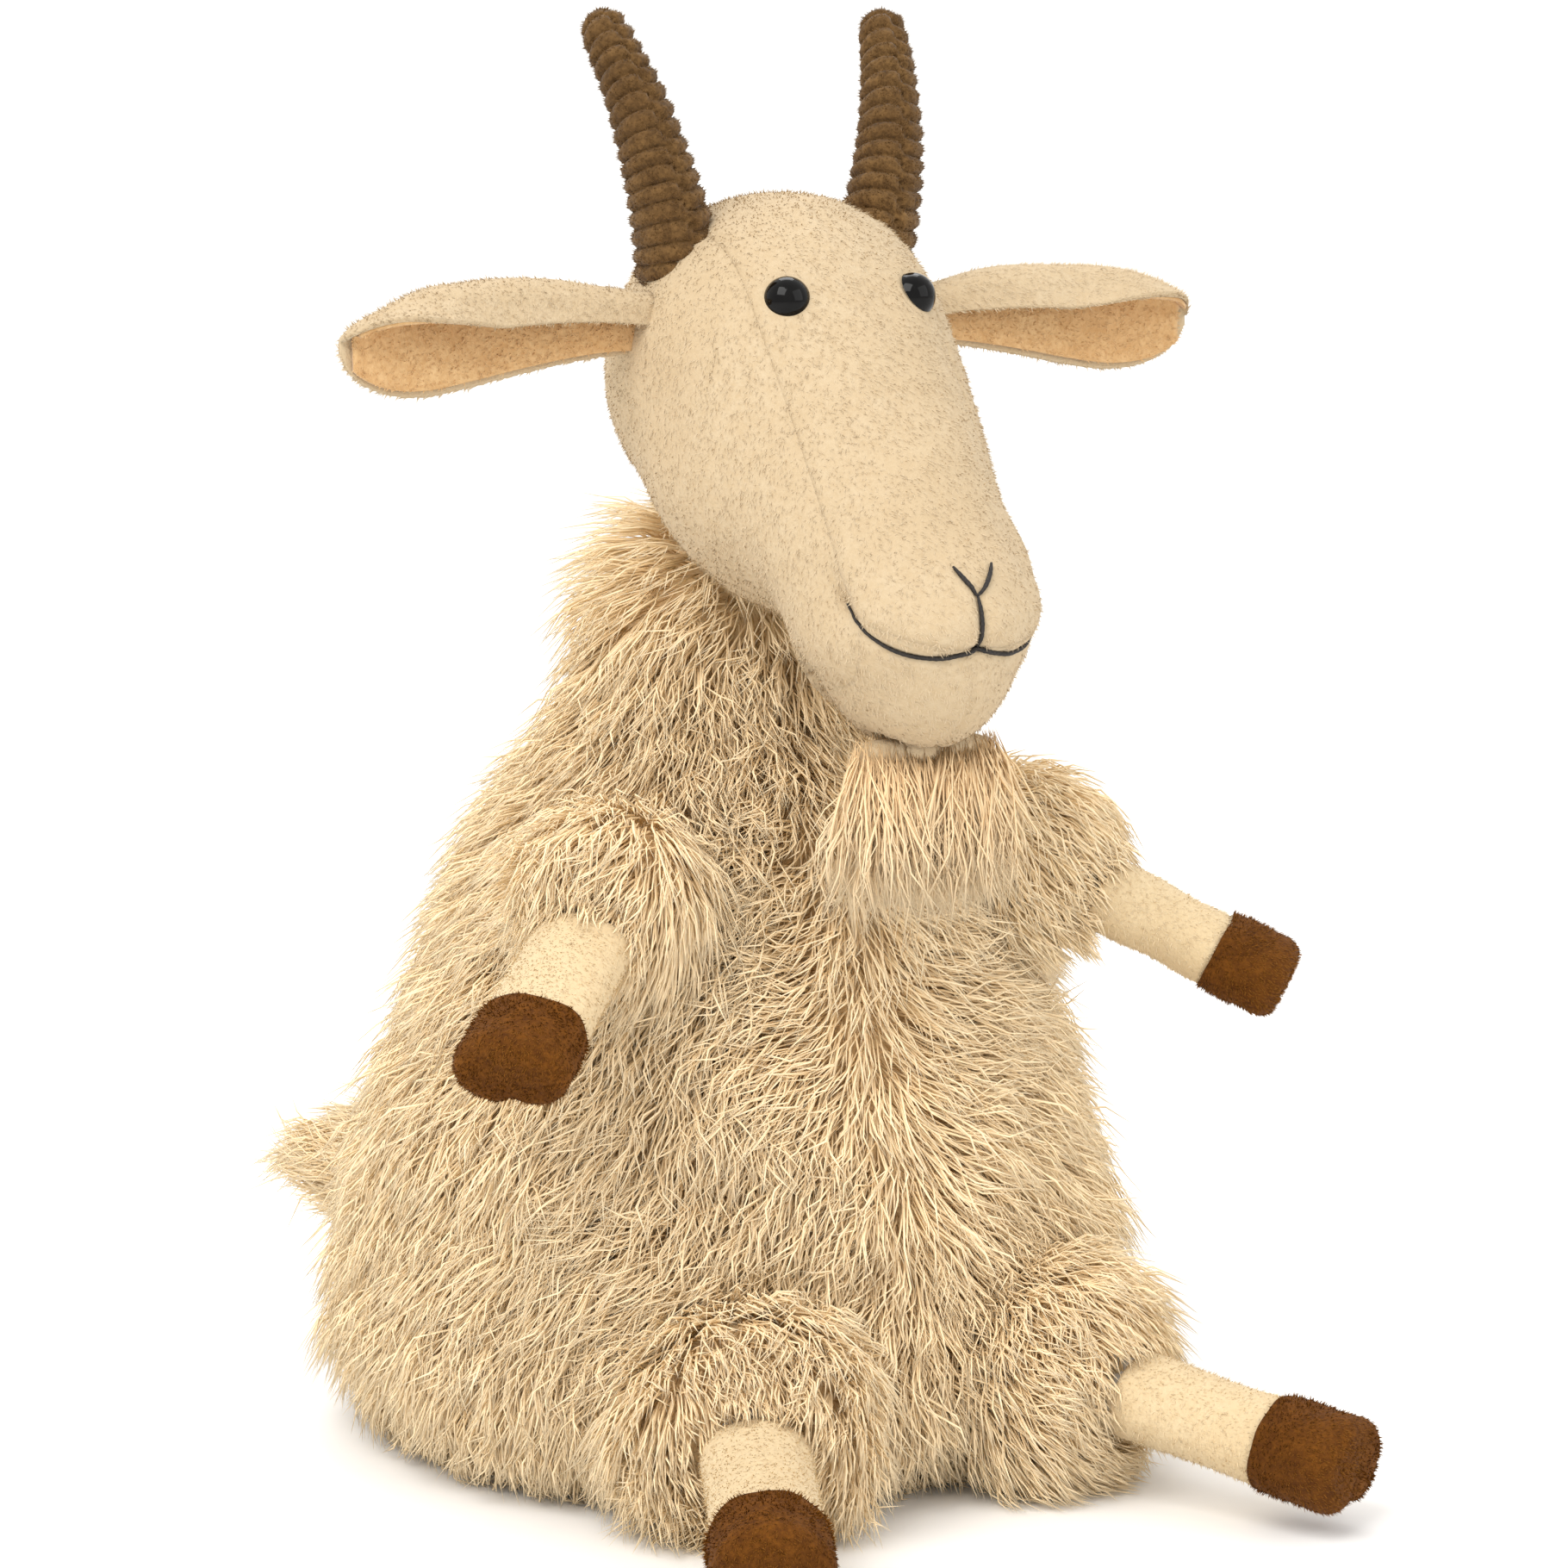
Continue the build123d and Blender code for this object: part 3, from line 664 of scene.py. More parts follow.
# %% [markdown]
# ## Fur
# Long pile is made of locks.  Each lock has a guide: a root on the skin, the skin's normal and a combing
# direction.  Its fibres start in a small disc round that root and draw together towards the tip.  A
# fibre leaves the skin at a steep angle and lays over: its height and its run are the integrals of the
# sine and the cosine of an angle that falls evenly from root to tip.  A fibre is a three-sided spindle with
# pointed ends, twelve triangles in all, so that many thousands of them stay light.

# %% One lock of fur, and thousands
STATIONS = np.array([0.0, 0.3, 0.68, 1.0])
THICKNESS = np.array([1.0, 0.85])


def fibre_faces(count):
    """Faces of count fibres of eight points each: a pointed root, one band and a pointed tip."""
    template = []
    for k in range(3):
        a, b = 1 + k, 1 + (k + 1) % 3
        template += [[b, a, 0], [a, b, b + 3], [a, b + 3, a + 3], [a + 3, b + 3, 7]]
    return (np.array(template)[None] + 8 * np.arange(count)[:, None, None]).reshape(-1, 3)


def fibre_paths(guides, normals, combs, lengths, chance, style):
    """Four points along every fibre, and the skin's normal under it, from the locks' guides."""
    per_lock = style["per_lock"]
    locks = len(guides)
    total = locks * per_lock
    normal = np.repeat(unit(normals), per_lock, 0)
    comb = combs - (combs * unit(normals)).sum(-1, keepdims=True) * unit(normals)
    comb = np.repeat(unit(comb), per_lock, 0)
    across = np.cross(normal, comb)
    turn = chance.uniform(0, 2 * np.pi, total)
    reach = style["lock_radius"] * np.sqrt(chance.uniform(0, 1, total))
    offset = (np.cos(turn) * reach)[:, None] * across + (np.sin(turn) * reach)[:, None] * comb
    centre = np.repeat(guides, per_lock, 0)
    stray = chance.normal(0, math.radians(style["stray"]), total)[:, None]
    heading = comb * np.cos(stray) + across * np.sin(stray)
    length = np.repeat(lengths, per_lock) * chance.uniform(0.72, 1.12, total)

    lock_lift = np.repeat(chance.normal(0, 7, locks), per_lock)
    first = np.radians(style["lift"] + lock_lift + chance.normal(0, 7, total))
    lock_lay = np.repeat(chance.normal(0, 9, locks), per_lock)
    last = np.radians(style["lay"] + lock_lay + chance.normal(0, 6, total))
    last = np.where(np.abs(last - first) < 0.05, first - 0.05, last)
    angle = first[:, None] + (last - first)[:, None] * STATIONS
    run = (np.sin(angle) - np.sin(first)[:, None]) / (last - first)[:, None]
    rise = (np.cos(first)[:, None] - np.cos(angle)) / (last - first)[:, None]

    gather = style["gather"] * STATIONS**1.2
    phase = np.repeat(chance.uniform(0, 2 * np.pi, locks), per_lock) + chance.normal(0, 0.5, total)
    swing = style["wave"] * np.sin(phase[:, None] + 2 * np.pi * style["curls"] * STATIONS) * STATIONS
    path = (
        centre[:, None] + offset[:, None] * (1 - gather)[None, :, None]
        + length[:, None, None] * (run[..., None] * heading[:, None] + rise[..., None] * normal[:, None])
        + (length[:, None] * swing)[..., None] * across[:, None]
    )
    path[..., 2] -= style["droop"] * length[:, None] * STATIONS**2
    floor = 0.4 * MM + chance.uniform(0, 1.0 * MM, total)
    path[..., 2] = np.maximum(path[..., 2], floor[:, None])
    return path, normal


def fibre_spindles(path, normal, width, chance):
    """Eight points per fibre: its ends, and a triangle square to it at each of its inner stations."""
    total = len(path)
    along = unit(path[:, 2:] - path[:, :-2])
    side_way = unit(np.cross(along, normal[:, None]) + 1e-6)
    up_way = np.cross(side_way, along)
    spin = chance.uniform(0, 2 * np.pi, total)[:, None] + 2 * np.pi / 3 * np.arange(3)
    spin = spin[:, None, :, None]
    circle = np.cos(spin) * side_way[:, :, None] + np.sin(spin) * up_way[:, :, None]
    size = width / 2 * chance.uniform(0.7, 1.3, total)
    rings = path[:, 1:3, None] + circle * (size[:, None] * THICKNESS)[:, :, None, None]
    points = np.concatenate([path[:, :1], rings.reshape(total, 6, 3), path[:, 3:]], 1)
    points[..., 2] = np.maximum(points[..., 2], 0.1 * MM)
    return points.reshape(-1, 3)


def map_fibres(piece, shade, stations):
    """The fibres' own map: across it each fibre's shade, up it the way from root to tip."""
    per_point = np.stack([np.repeat(shade, len(stations)), np.tile(stations, len(shade))], -1)
    corner = np.empty(len(piece.data.loops), np.int32)
    piece.data.loops.foreach_get("vertex_index", corner)
    layer = piece.data.uv_layers.new(name="OFBake")
    layer.data.foreach_set("uv", (0.02 + 0.96 * per_point[corner]).astype(np.float32).ravel())


def fur_piece(name, guides, normals, combs, lengths, chance, body, slot, material, style):
    """One piece of fur from its guides; style holds the lock's numbers by name."""
    path, normal = fibre_paths(guides, normals, combs, lengths, chance, style)
    points = fibre_spindles(path, normal, style["width"], chance)
    piece = new_object(name, points, [fibre_faces(len(path))], material)
    lock_shade = np.repeat(chance.uniform(0.15, 1.0, len(guides)), style["per_lock"])
    shade = lock_shade * 0.6 + chance.uniform(0, 0.4, len(path))
    map_fibres(piece, shade, np.repeat(STATIONS, [1, 3, 3, 1]))
    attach(piece, body)
    return piece


BODY_STYLE = {
    "per_lock": 10, "lock_radius": 2.7 * MM, "stray": 14.0, "lift": 54.0, "lay": 4.0, "gather": 0.68,
    "wave": 0.1, "curls": 1.1, "droop": 0.05, "width": 0.56 * MM,
}
print("fur helper ready; triangles per fibre:", len(fibre_faces(1)))

# %% [markdown]
# ## Roots for the fur
# Roots must be even, with no rows.  On a turned skin the angle of each next root steps by the golden
# angle, and its station comes from the share of the skin's area passed so far, a little shaken.

# %% Even roots on a turned skin
def turned_guides(origin, axis, across, profile, density, chance):
    """Roots, normals and the way along the skin, for a turned profile of (station, radius)."""
    profile = np.asarray(profile, float)
    step = np.hypot(*np.diff(profile, axis=0).T)
    area = np.concatenate([[0], np.cumsum(np.pi * step * (profile[1:, 1] + profile[:-1, 1]))])
    count = int(density * area[-1])
    share = (np.arange(count) + 0.5 + chance.uniform(-12, 12, count)) / count * area[-1]
    slope = unit(np.gradient(profile, axis=0))
    station, radius, rise, flare = (
        np.interp(share, area, column) for column in (
            profile[:, 0], profile[:, 1], slope[:, 0], slope[:, 1]
        )
    )
    turn = np.arange(count) * np.pi * (3 - math.sqrt(5))
    axis = unit(axis)
    across = unit(np.asarray(across, float) - np.dot(across, axis) * axis)
    out = np.cos(turn)[:, None] * across + np.sin(turn)[:, None] * np.cross(axis, across)
    points = origin + station[:, None] * axis + radius[:, None] * out
    normals = unit(rise[:, None] * out - flare[:, None] * axis)
    return points, normals, unit(rise[:, None] * axis + flare[:, None] * out)


def turn_about(normals, ways, degrees):
    """Directions on the skin turned about its normals."""
    angle = np.radians(degrees)[:, None]
    return ways * np.cos(angle) + np.cross(normals, ways) * np.sin(angle)


# %% [markdown]
# ## Fur on the torso
# The fur is combed down, with slow random turns, and stands out more at the neck.  It is cut into
# patches, each a piece of its own, and it leaves room where the limbs are sewn in.

# %% Torso fur
FUR_DENSITY = 0.72 / MM**2
chance = np.random.default_rng(11)
roots, root_normals, uphill = turned_guides(
    np.zeros(3), [0, 0, 1], [1, 0, 0], torso_line(PILE_DEPTH), FUR_DENSITY / BODY_STYLE["per_lock"], chance
)
heading = np.degrees(np.arctan2(roots[:, 0], -roots[:, 1]))
height = roots[:, 2] / MM
fan = np.interp(height, [20, 60, 110, 150, 180], [26, 42, 62, 40, 10]) * np.exp(-np.abs(heading) / 60)
fan *= np.tanh(heading / 6)
swirl = 30 * soft_noise(roots, 0.055, 3) + chance.normal(0, 16, len(roots))
combs = turn_about(root_normals, -uphill, fan + swirl)
lengths = MM * (24 + 3 * soft_noise(roots, 0.03, 4) + chance.uniform(-3, 3, len(roots)))
lengths *= np.interp(roots[:, 2], [0, 0.03, 0.06], [0.6, 0.9, 1.0])

balls = {
    "left_arm_swing": 10, "right_arm_swing": 10, "left_leg_splay": 13, "right_leg_splay": 13,
    "tail_wag": 6,
}
free = np.ones(len(roots), bool)
for joint, ball in balls.items():
    free &= np.linalg.norm(roots - pivot(joint), axis=-1) > ball * MM
patches = {
    "neck_fur": height > 150,
    "chest_fur": (height <= 150) & (height > 98) & (np.abs(heading) <= 90),
    "shoulder_fur": (height <= 150) & (height > 98) & (np.abs(heading) > 90),
    "belly_fur": (height <= 98) & (np.abs(heading) <= 50),
    "left_flank_fur": (height <= 98) & (heading > 50) & (heading <= 130),
    "right_flank_fur": (height <= 98) & (heading < -50) & (heading >= -130),
    "rump_fur": (height <= 98) & (np.abs(heading) > 130),
}
NECK_STYLE = {**BODY_STYLE, "lift": 62.0, "lay": 14.0}
for number, (name, mask) in enumerate(patches.items()):
    mask = mask & free
    style = NECK_STYLE if name == "neck_fur" else BODY_STYLE
    picked = (values[mask] for values in (roots, root_normals, combs, lengths))
    fur_piece(name, *picked, np.random.default_rng(100 + number), "torso", "long_fur", fur_fibre, style)
    print(name, int(mask.sum()) * style["per_lock"], "fibres")

# %% [markdown]
# ## The head's form
# The head is a big ball and a small ball with a cone between, before the sewing shapes it.  A signed
# distance says how far a point is outside that form, so any panel can be laid on it: points start on a
# flat layout and slide along a given direction until the distance is nought.

# %% Distance to the head's form
gusset_low, gusset_high = box_of("head_center_gusset")
side_low, side_high = box_of("head_left_panel", "head_right_panel")
PLUSH_DEPTH = 0.8 * MM
CRANIUM_RADIUS = side_high[0] - PLUSH_DEPTH
cranium_centre = np.array([0, gusset_high[1] - side_high[0], gusset_high[2] - side_high[0]])
MUZZLE_RADIUS = 27 * MM - PLUSH_DEPTH
muzzle_centre = np.array([0, gusset_low[1] + 27 * MM, pivot("beard_swing")[2] + 26 * MM])
SEAM_X = box_of("head_center_gusset")[1][0]
head_run = np.linalg.norm(muzzle_centre - cranium_centre)
head_way = (muzzle_centre - cranium_centre) / head_run
head_top = np.array([0, head_way[2], -head_way[1]])
taper = (CRANIUM_RADIUS - MUZZLE_RADIUS) / head_run


def head_distance(points):
    """Distance outside two balls and their cone: plain geometry in the (along, away) half plane."""
    rel = points - cranium_centre
    along = rel @ head_way
    away = np.sqrt(np.maximum((rel**2).sum(-1) - along**2, 0))
    lean = math.sqrt(1 - taper**2)
    beside = along * lean - away * taper
    cone = away * lean + along * taper - CRANIUM_RADIUS
    big = np.hypot(along, away) - CRANIUM_RADIUS
    small = np.hypot(along - head_run, away) - MUZZLE_RADIUS
    return np.where(beside < 0, big, np.where(beside > head_run * lean, small, cone))


def slide_onto(points, ways, reach):
    """Points moved along unit ways, by halving the interval, to where the head's distance is nought."""
    low_step = np.zeros(points.shape[:-1])
    high_step = np.full(points.shape[:-1], reach)
    for _ in range(26):
        middle = (low_step + high_step) / 2
        outside = head_distance(points + middle[..., None] * ways) > 0
        high_step = np.where(outside, middle, high_step)
        low_step = np.where(outside, low_step, middle)
    return points + low_step[..., None] * ways


def head_normal(points):
    """The gradient of the distance, by small differences."""
    step = 0.2 * MM
    offsets = step * np.eye(3)
    return unit(np.stack([head_distance(points + o) - head_distance(points - o) for o in offsets], -1))


print("cranium mm:", np.round(cranium_centre / MM, 1), " muzzle mm:", np.round(muzzle_centre / MM, 1))

# %% [markdown]
# ## What the sewing does to the face
# Stitches pull the cloth in: a smile from cheek to cheek, a stem up to the nose and a groove along every
# seam.  Between the stitches the stuffing pushes the lips out, and under each eye's cap the cloth is
# lifted, so the eye sits on it.  All of it is one function of place, so neighbouring panels still meet.

# %% Face shaping
SMILE_REACH = 72.0


def smile_height(azimuth):
    """The smile's elevation on the muzzle, in degrees: a dip beside the middle, then up to the cheek."""
    t = np.clip(np.abs(azimuth) / SMILE_REACH, 0, 1.15)
    return -3 + 22 * t**2.6 - 24 * t * (1 - t)


def eye_seats(points):
    """Nearness to either eye, from 0 to 1."""
    near = np.zeros(points.shape[:-1])
    for side in SIDES:
        low_corner, high_corner = box_of(f"{side}_eye")
        near = near + bump_shape(np.linalg.norm(points - (low_corner + high_corner) / 2, axis=-1), 7.5 * MM)
    return near


def smile_corner(side):
    """The end of the smile on one side, on the muzzle's ball."""
    turn, rise = math.radians(side * SMILE_REACH), math.radians(smile_height(SMILE_REACH))
    return muzzle_centre + MUZZLE_RADIUS * np.array(
        [math.sin(turn) * math.cos(rise), -math.cos(turn) * math.cos(rise), math.sin(rise)]
    )


def stitch_lift(points, azimuth, elevation):
    """Lips pushed out between the stitches, and the cloth drawn in along smile, stem and corners."""
    reach = np.linalg.norm(points - muzzle_centre, axis=-1)
    front = 1 / (1 + np.exp((np.abs(azimuth) - SMILE_REACH - 6) / 4))
    front = front / (1 + np.exp((reach - 1.35 * MUZZLE_RADIUS) / (1.5 * MM)))
    above = (elevation - smile_height(azimuth)) * np.radians(1) * MUZZLE_RADIUS
    x = points[..., 0]
    stem = front * bump_shape(x, 1.2 * MM) * (above > 0) * (elevation < 24)
    upper_lip = 1.9 * MM * bump_shape(above - 6.5 * MM, 6 * MM) * (1 - bump_shape(x, 3 * MM) * 0.5)
    lift = front * upper_lip
    lift -= front * (1.7 * MM * bump_shape(above, 1.5 * MM) + 0.6 * MM * bump_shape(above + 4 * MM, 4 * MM))
    lift -= 0.9 * MM * stem
    for side in SIDES.values():
        gap = np.linalg.norm(points - smile_corner(side), axis=-1)
        lift -= 1.6 * MM * bump_shape(gap, 4.5 * MM)
    return lift


def make_room(shaped, normal, x):
    """Shaped points kept off the neck's round top, and dented where the beard's roll lies."""
    seat = neck_radius + 1.0 * MM
    from_neck = shaped - neck_centre
    gap = np.linalg.norm(from_neck, axis=-1, keepdims=True)
    shaped = neck_centre + from_neck * np.maximum(1, seat / np.maximum(gap, 1e-9))
    hinge = pivot("beard_swing")
    roll = np.hypot(shaped[..., 1] - hinge[1], shaped[..., 2] - hinge[2])
    dimple = np.sqrt(np.maximum((4.6 * MM) ** 2 - roll**2, 0)) * (np.abs(x) < 19 * MM)
    return shaped - dimple[..., None] * normal


def shape_face(points):
    """The sewn face: each point moves along the form's normal by the sum of its lips, dents and grooves."""
    normal = head_normal(points)
    rel = points - muzzle_centre
    azimuth = np.degrees(np.arctan2(rel[..., 0], -rel[..., 1]))
    elevation = np.degrees(np.arcsin(np.clip(rel[..., 2] / np.linalg.norm(rel, axis=-1), -1, 1)))
    x = points[..., 0]
    lift = stitch_lift(points, azimuth, elevation)
    lift += 1.3 * MM * eye_seats(points)
    lift -= 0.45 * MM * bump_shape(np.abs(x) - SEAM_X, 1.0 * MM)
    crown = bump_shape(points[..., 1] + 34 * MM, 15 * MM) * (points[..., 2] > cranium_centre[2])
    chin_line = (elevation < -8) & (points[..., 1] < muzzle_centre[1] + 8 * MM)
    lift -= 0.6 * MM * bump_shape(x, 1.0 * MM) * np.maximum(crown, chin_line)
    jaw = 1 / (1 + np.exp((elevation + 14) / 6)) * bump_shape(np.abs(x) - 0.85 * MUZZLE_RADIUS, 12 * MM)
    lift -= 3.2 * MM * jaw * (rel[..., 1] < 16 * MM)
    along = (points - cranium_centre) @ head_way - head_run
    under = 1 / (1 + np.exp((normal @ head_top + 0.15) / 0.15))
    cheek = 3.2 * MM * bump_shape(along + 52 * MM, 15 * MM)
    pinch = 5.2 * MM * bump_shape(along + 20 * MM, 13 * MM)
    lift += under * (cheek - pinch)
    lift += 0.55 * MM * soft_noise(points, 0.034, 17) + 0.18 * MM * soft_noise(points, 0.012, 18)
    return make_room(points + lift[..., None] * normal, normal, x)


# %% [markdown]
# ## Head panels
# Four panels of plush make the head, as the pattern is really cut: a long centre gusset from nape over the
# crown to the nose, a chin panel under it, and a cheek panel each side.  The middle strip follows the
# form's outline in the middle plane; a cheek is laid out as a polar grid on its side plane.

# %% Head panels
PLUSH_CLOTH = 1.2 * MM
lean_angle = math.asin(taper)


def outline_turn(angles):
    """Places and outward ways on the middle outline, for angles from the nose pole up and over."""
    cos_a, sin_a = np.cos(angles)[:, None], np.sin(angles)[:, None]
    ways = cos_a * head_way + sin_a * head_top
    middle = (cranium_centre + muzzle_centre) / 2
    inside = np.broadcast_to(middle, ways.shape)
    return inside, ways


def strip_panel(start, end, rows, columns):
    """A grid of the middle strip between two angles about the head's middle, seam to seam."""
    inside, ways = outline_turn(np.linspace(start, end, rows))
    x = np.linspace(-SEAM_X, SEAM_X, columns)
    base = inside[:, None] + x[None, :, None] * np.array([1.0, 0, 0])
    return slide_onto(base, np.broadcast_to(ways[:, None], base.shape), 0.11)


def cheek_panel(side, rings, columns):
    """A polar grid on a cheek: rings shrink from the seam to a middle, each point slid out sideways."""
    inside, ways = outline_turn(np.linspace(0, 2 * np.pi, columns, endpoint=False))
    plane = inside + side * SEAM_X * np.array([1.0, 0, 0])
    seam = slide_onto(plane, ways, 0.11)
    middle = plane[0]
    share = np.sin(np.linspace(0, np.pi / 2, rings + 1)[1:])
    flat = middle + share[:, None, None] * (seam - middle)
    out = np.broadcast_to(np.array([side, 0.0, 0.0]), flat.shape)
    cap = slide_onto(flat, out, 0.03)
    cap[-1] = seam
    return cap


def dress_panel(name, points, faces):
    """A finished head panel with its material and body."""
    panel = new_object(name, points, faces, cream_plush)
    belongs(panel, "head", name.replace("_plush", ""))
    return panel


def angle_of(point):
    """A point's angle about the head's middle, in the middle plane."""
    rel = point - (cranium_centre + muzzle_centre) / 2
    return math.atan2(rel @ head_top, rel @ head_way) % (2 * math.pi)


mouth_middle = muzzle_centre + MUZZLE_RADIUS * np.array([0, -0.998, -0.052])
nape = np.array([0, cranium_centre[1] + 20 * MM, cranium_centre[2] - 34 * MM])
mouth_angle, nape_angle = angle_of(mouth_middle), angle_of(nape)
mouth_angle -= 2 * math.pi if mouth_angle > math.pi else 0
strips = {
    "head_center_gusset": strip_panel(mouth_angle, nape_angle, 200, 60),
    "chin_panel": strip_panel(nape_angle, mouth_angle + 2 * math.pi, 104, 60),
}
head_tops = []
for name, flat in strips.items():
    outer = shape_face(flat)
    inner = outer - PLUSH_CLOTH * head_normal(flat)
    head_tops.append((outer, head_normal(flat)))
    dress_panel(f"{name}_plush", *thick_sheet(outer, inner))
for name, side in SIDES.items():
    flat = cheek_panel(side, 40, 170)
    outer = shape_face(flat)
    inner = outer - PLUSH_CLOTH * head_normal(flat)
    head_tops.append((outer, head_normal(flat)))
    dress_panel(f"head_{name}_panel_plush", *capped_tube(np.concatenate([outer, inner[::-1]])))
FIBRE_DEPTH = 6.0 * MM
turn = np.linspace(-np.pi / 2 + 0.06, lean_angle, 30)
back_line = CRANIUM_RADIUS * np.stack([np.sin(turn), np.cos(turn)], -1)
turn = np.linspace(lean_angle, np.pi / 2 - 0.06, 30)
front_line = MUZZLE_RADIUS * np.stack([np.sin(turn), np.cos(turn)], -1) + [head_run, 0]
rings = turned_rings(cranium_centre, head_way, [1, 0, 0], np.vstack([back_line, front_line]), 80)
rings = shape_face(rings) - FIBRE_DEPTH * head_normal(rings)
rings += 0.5 * MM * soft_noise(rings, 0.02, 19)[..., None]
head_fibre = new_object("head_fibre_fill", *capped_tube(rings), filling)
belongs(head_fibre, "head", "head_stuffing")
print("head panels made")

# %% [markdown]
# ## Short pile
# Plush is a forest of fibres about a millimetre tall.  Bump alone leaves a hard outline, so the nap is
# also real: tiny four-sided slivers, each leaning the way the cloth was stroked.  Roots are picked on a
# grid of surface points with a chance that follows each cell's area.

# %% Short pile helper
def straight_comb(way):
    """A comb that strokes every root the same way."""
    return lambda points: np.broadcast_to(way, points.shape)


def short_pile(
    name, patches, count, comb, body, material, seed, length=1.2, width=0.36, lean=66, bare=None
):
    """Slivers on grids of (points, normals): a triangle at the root and a tip that leans along comb.

    length and width are in millimetres, lean is the angle off the normal, in degrees."""
    chance = np.random.default_rng(seed)
    corners, turns, sizes = [], [], []
    for points, normals in patches:
        a, b, c, d = points[:-1, :-1], points[1:, :-1], points[:-1, 1:], points[1:, 1:]
        halves = [np.linalg.norm(np.cross(b - end, c - end), axis=-1) / 2 for end in (a, d)]
        corners.append(np.stack([a, b, c, d], 2).reshape(-1, 4, 3))
        turns.append(normals[:-1, :-1].reshape(-1, 3))
        sizes.append((halves[0] + halves[1]).ravel())
    corners, turns, sizes = np.vstack(corners), np.vstack(turns), np.concatenate(sizes)
    if bare is not None:
        sizes = sizes * ~bare(corners.mean(1))
    picked = chance.choice(len(sizes), count, p=sizes / sizes.sum())
    u, v = chance.uniform(0, 1, (2, count, 1))
    a, b, c, d = (corners[picked, k] for k in range(4))
    root = a * (1 - u) * (1 - v) + b * u * (1 - v) + c * (1 - u) * v + d * u * v
    normal = turns[picked]
    way = comb(root)
    way = unit(way - (way * normal).sum(-1, keepdims=True) * normal)
    way = turn_about(normal, way, chance.normal(0, 38, count))
    tilt = np.radians(chance.normal(lean, 14, count))[:, None]
    size = MM * length * chance.uniform(0.6, 1.25, count)[:, None]
    tip = root + size * (np.cos(tilt) * normal + np.sin(tilt) * way)
    across = unit(np.cross(way, normal)) * width * MM / 2
    root = root - 0.15 * MM * normal
    back = -0.5 * width * MM * way
    points = np.stack([root + across, root - across, root + back, tip], 1)
    sliver = np.array([[0, 1, 2], [0, 3, 1], [1, 3, 2], [2, 3, 0]])
    faces = (sliver[None] + 4 * np.arange(count)[:, None, None]).reshape(-1, 3)
    piece = new_object(name, points.reshape(-1, 3), [faces], material, smooth=False)
    # Painted nap shade: in slow patches the slivers are mixed towards the darker root colour.
    nap = 0.5 + 0.5 * soft_noise(root, 0.03, seed + 50)
    shade = np.clip(0.5 * nap + chance.uniform(0, 0.5, count), 0, 1)
    map_fibres(piece, shade, [0.0, 0.0, 0.0, 1.0])
    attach(piece, body)
    return piece


def head_comb(points):
    """The face is stroked down from the crown towards the nose, and down at the cheeks."""
    return head_way + 0.5 * np.array([0, 0, -1.0]) + 0.6 * unit(points - cranium_centre) * [1, 0, 0]


# %% [markdown]
# ## Nose and mouth
# Black thread draws the nose and the smile.  Points go out from the muzzle's middle at chosen angles until
# they meet the cloth, and a thin round thread follows them.

# %% Thread stitching
face_trees = [tree_of(bpy.data.objects[f"{name}_plush"]) for name in strips]
face_trees += [tree_of(bpy.data.objects[f"head_{name}_panel_plush"]) for name in SIDES]
THREAD = 0.52 * MM


def on_face(azimuth, elevation):
    """The outermost point of the face in a direction from the muzzle's middle, in degrees."""
    a, e = math.radians(azimuth), math.radians(elevation)
    way = Vector((math.sin(a) * math.cos(e), -math.cos(a) * math.cos(e), math.sin(e)))
    start = Vector(muzzle_centre) + 0.08 * way
    hits = [tree.ray_cast(start, -way, 0.08)[0] for tree in face_trees]
    nearest = min((hit for hit in hits if hit is not None), key=lambda hit: (hit - start).length)
    return np.array(nearest + 1.0 * THREAD * way)


def thread_tube(line, radius, columns=10):
    """Rings about a smooth line, each square to the line's own direction."""
    line = np.asarray(line)
    way = unit(np.gradient(line, axis=0))
    first = unit(np.cross(way, [0.31, 0.2, 0.93]))
    second = np.cross(way, first)
    turn = np.linspace(0, 2 * np.pi, columns, endpoint=False)
    circle = circle_round(first, second, turn)
    grow = radius * np.sqrt(np.sin(np.linspace(0.25, np.pi - 0.25, len(line))))
    twist = 1 + 0.08 * np.sin(np.arange(len(line))[:, None] * 1.9 + turn[None, :] * 2)
    return line[:, None] + circle * (grow[:, None] * twist)[..., None]


def stitched(name, node, lines):
    """One piece of thread made of several runs."""
    points, faces = join_parts([capped_tube(thread_tube(line, THREAD)) for line in lines])
    piece = new_object(name, points, faces, black_thread)
    belongs(piece, "head", node)


smile_turns = np.linspace(-SMILE_REACH, SMILE_REACH, 150)
smile = np.array([on_face(a, smile_height(a)) for a in smile_turns])
smile[1:-1] = (smile[:-2] + smile[1:-1] + smile[2:]) / 3
stitched("smile_thread", "mouth_stitch", [smile])
stem = np.array([on_face(0, e) for e in np.linspace(-2.5, 22, 30)])
arms = [
    np.array([on_face(side * (13 + 2.5 * side) * t, 22 + 15 * t**1.15) for t in np.linspace(0, 1, 22)])
    for side in SIDES.values()
]
stitched("nose_thread", "nose_stitch", [stem, *arms])
threads = np.vstack([smile, stem, *arms])
eyes = np.array([np.mean(box_of(f"{side}_eye"), 0) for side in SIDES])


def nearest_gap(points, places):
    """Distance to the nearest place.

    The square of each gap is p squared plus q squared, less twice p times q."""
    squares = (points**2).sum(1)[:, None] + (places**2).sum(1)[None] - 2 * points @ places.T
    return np.sqrt(np.maximum(squares.min(1), 0))


THREAD_CLEARING = 1.3 * MM
EYE_CLEARING = 6.2 * MM


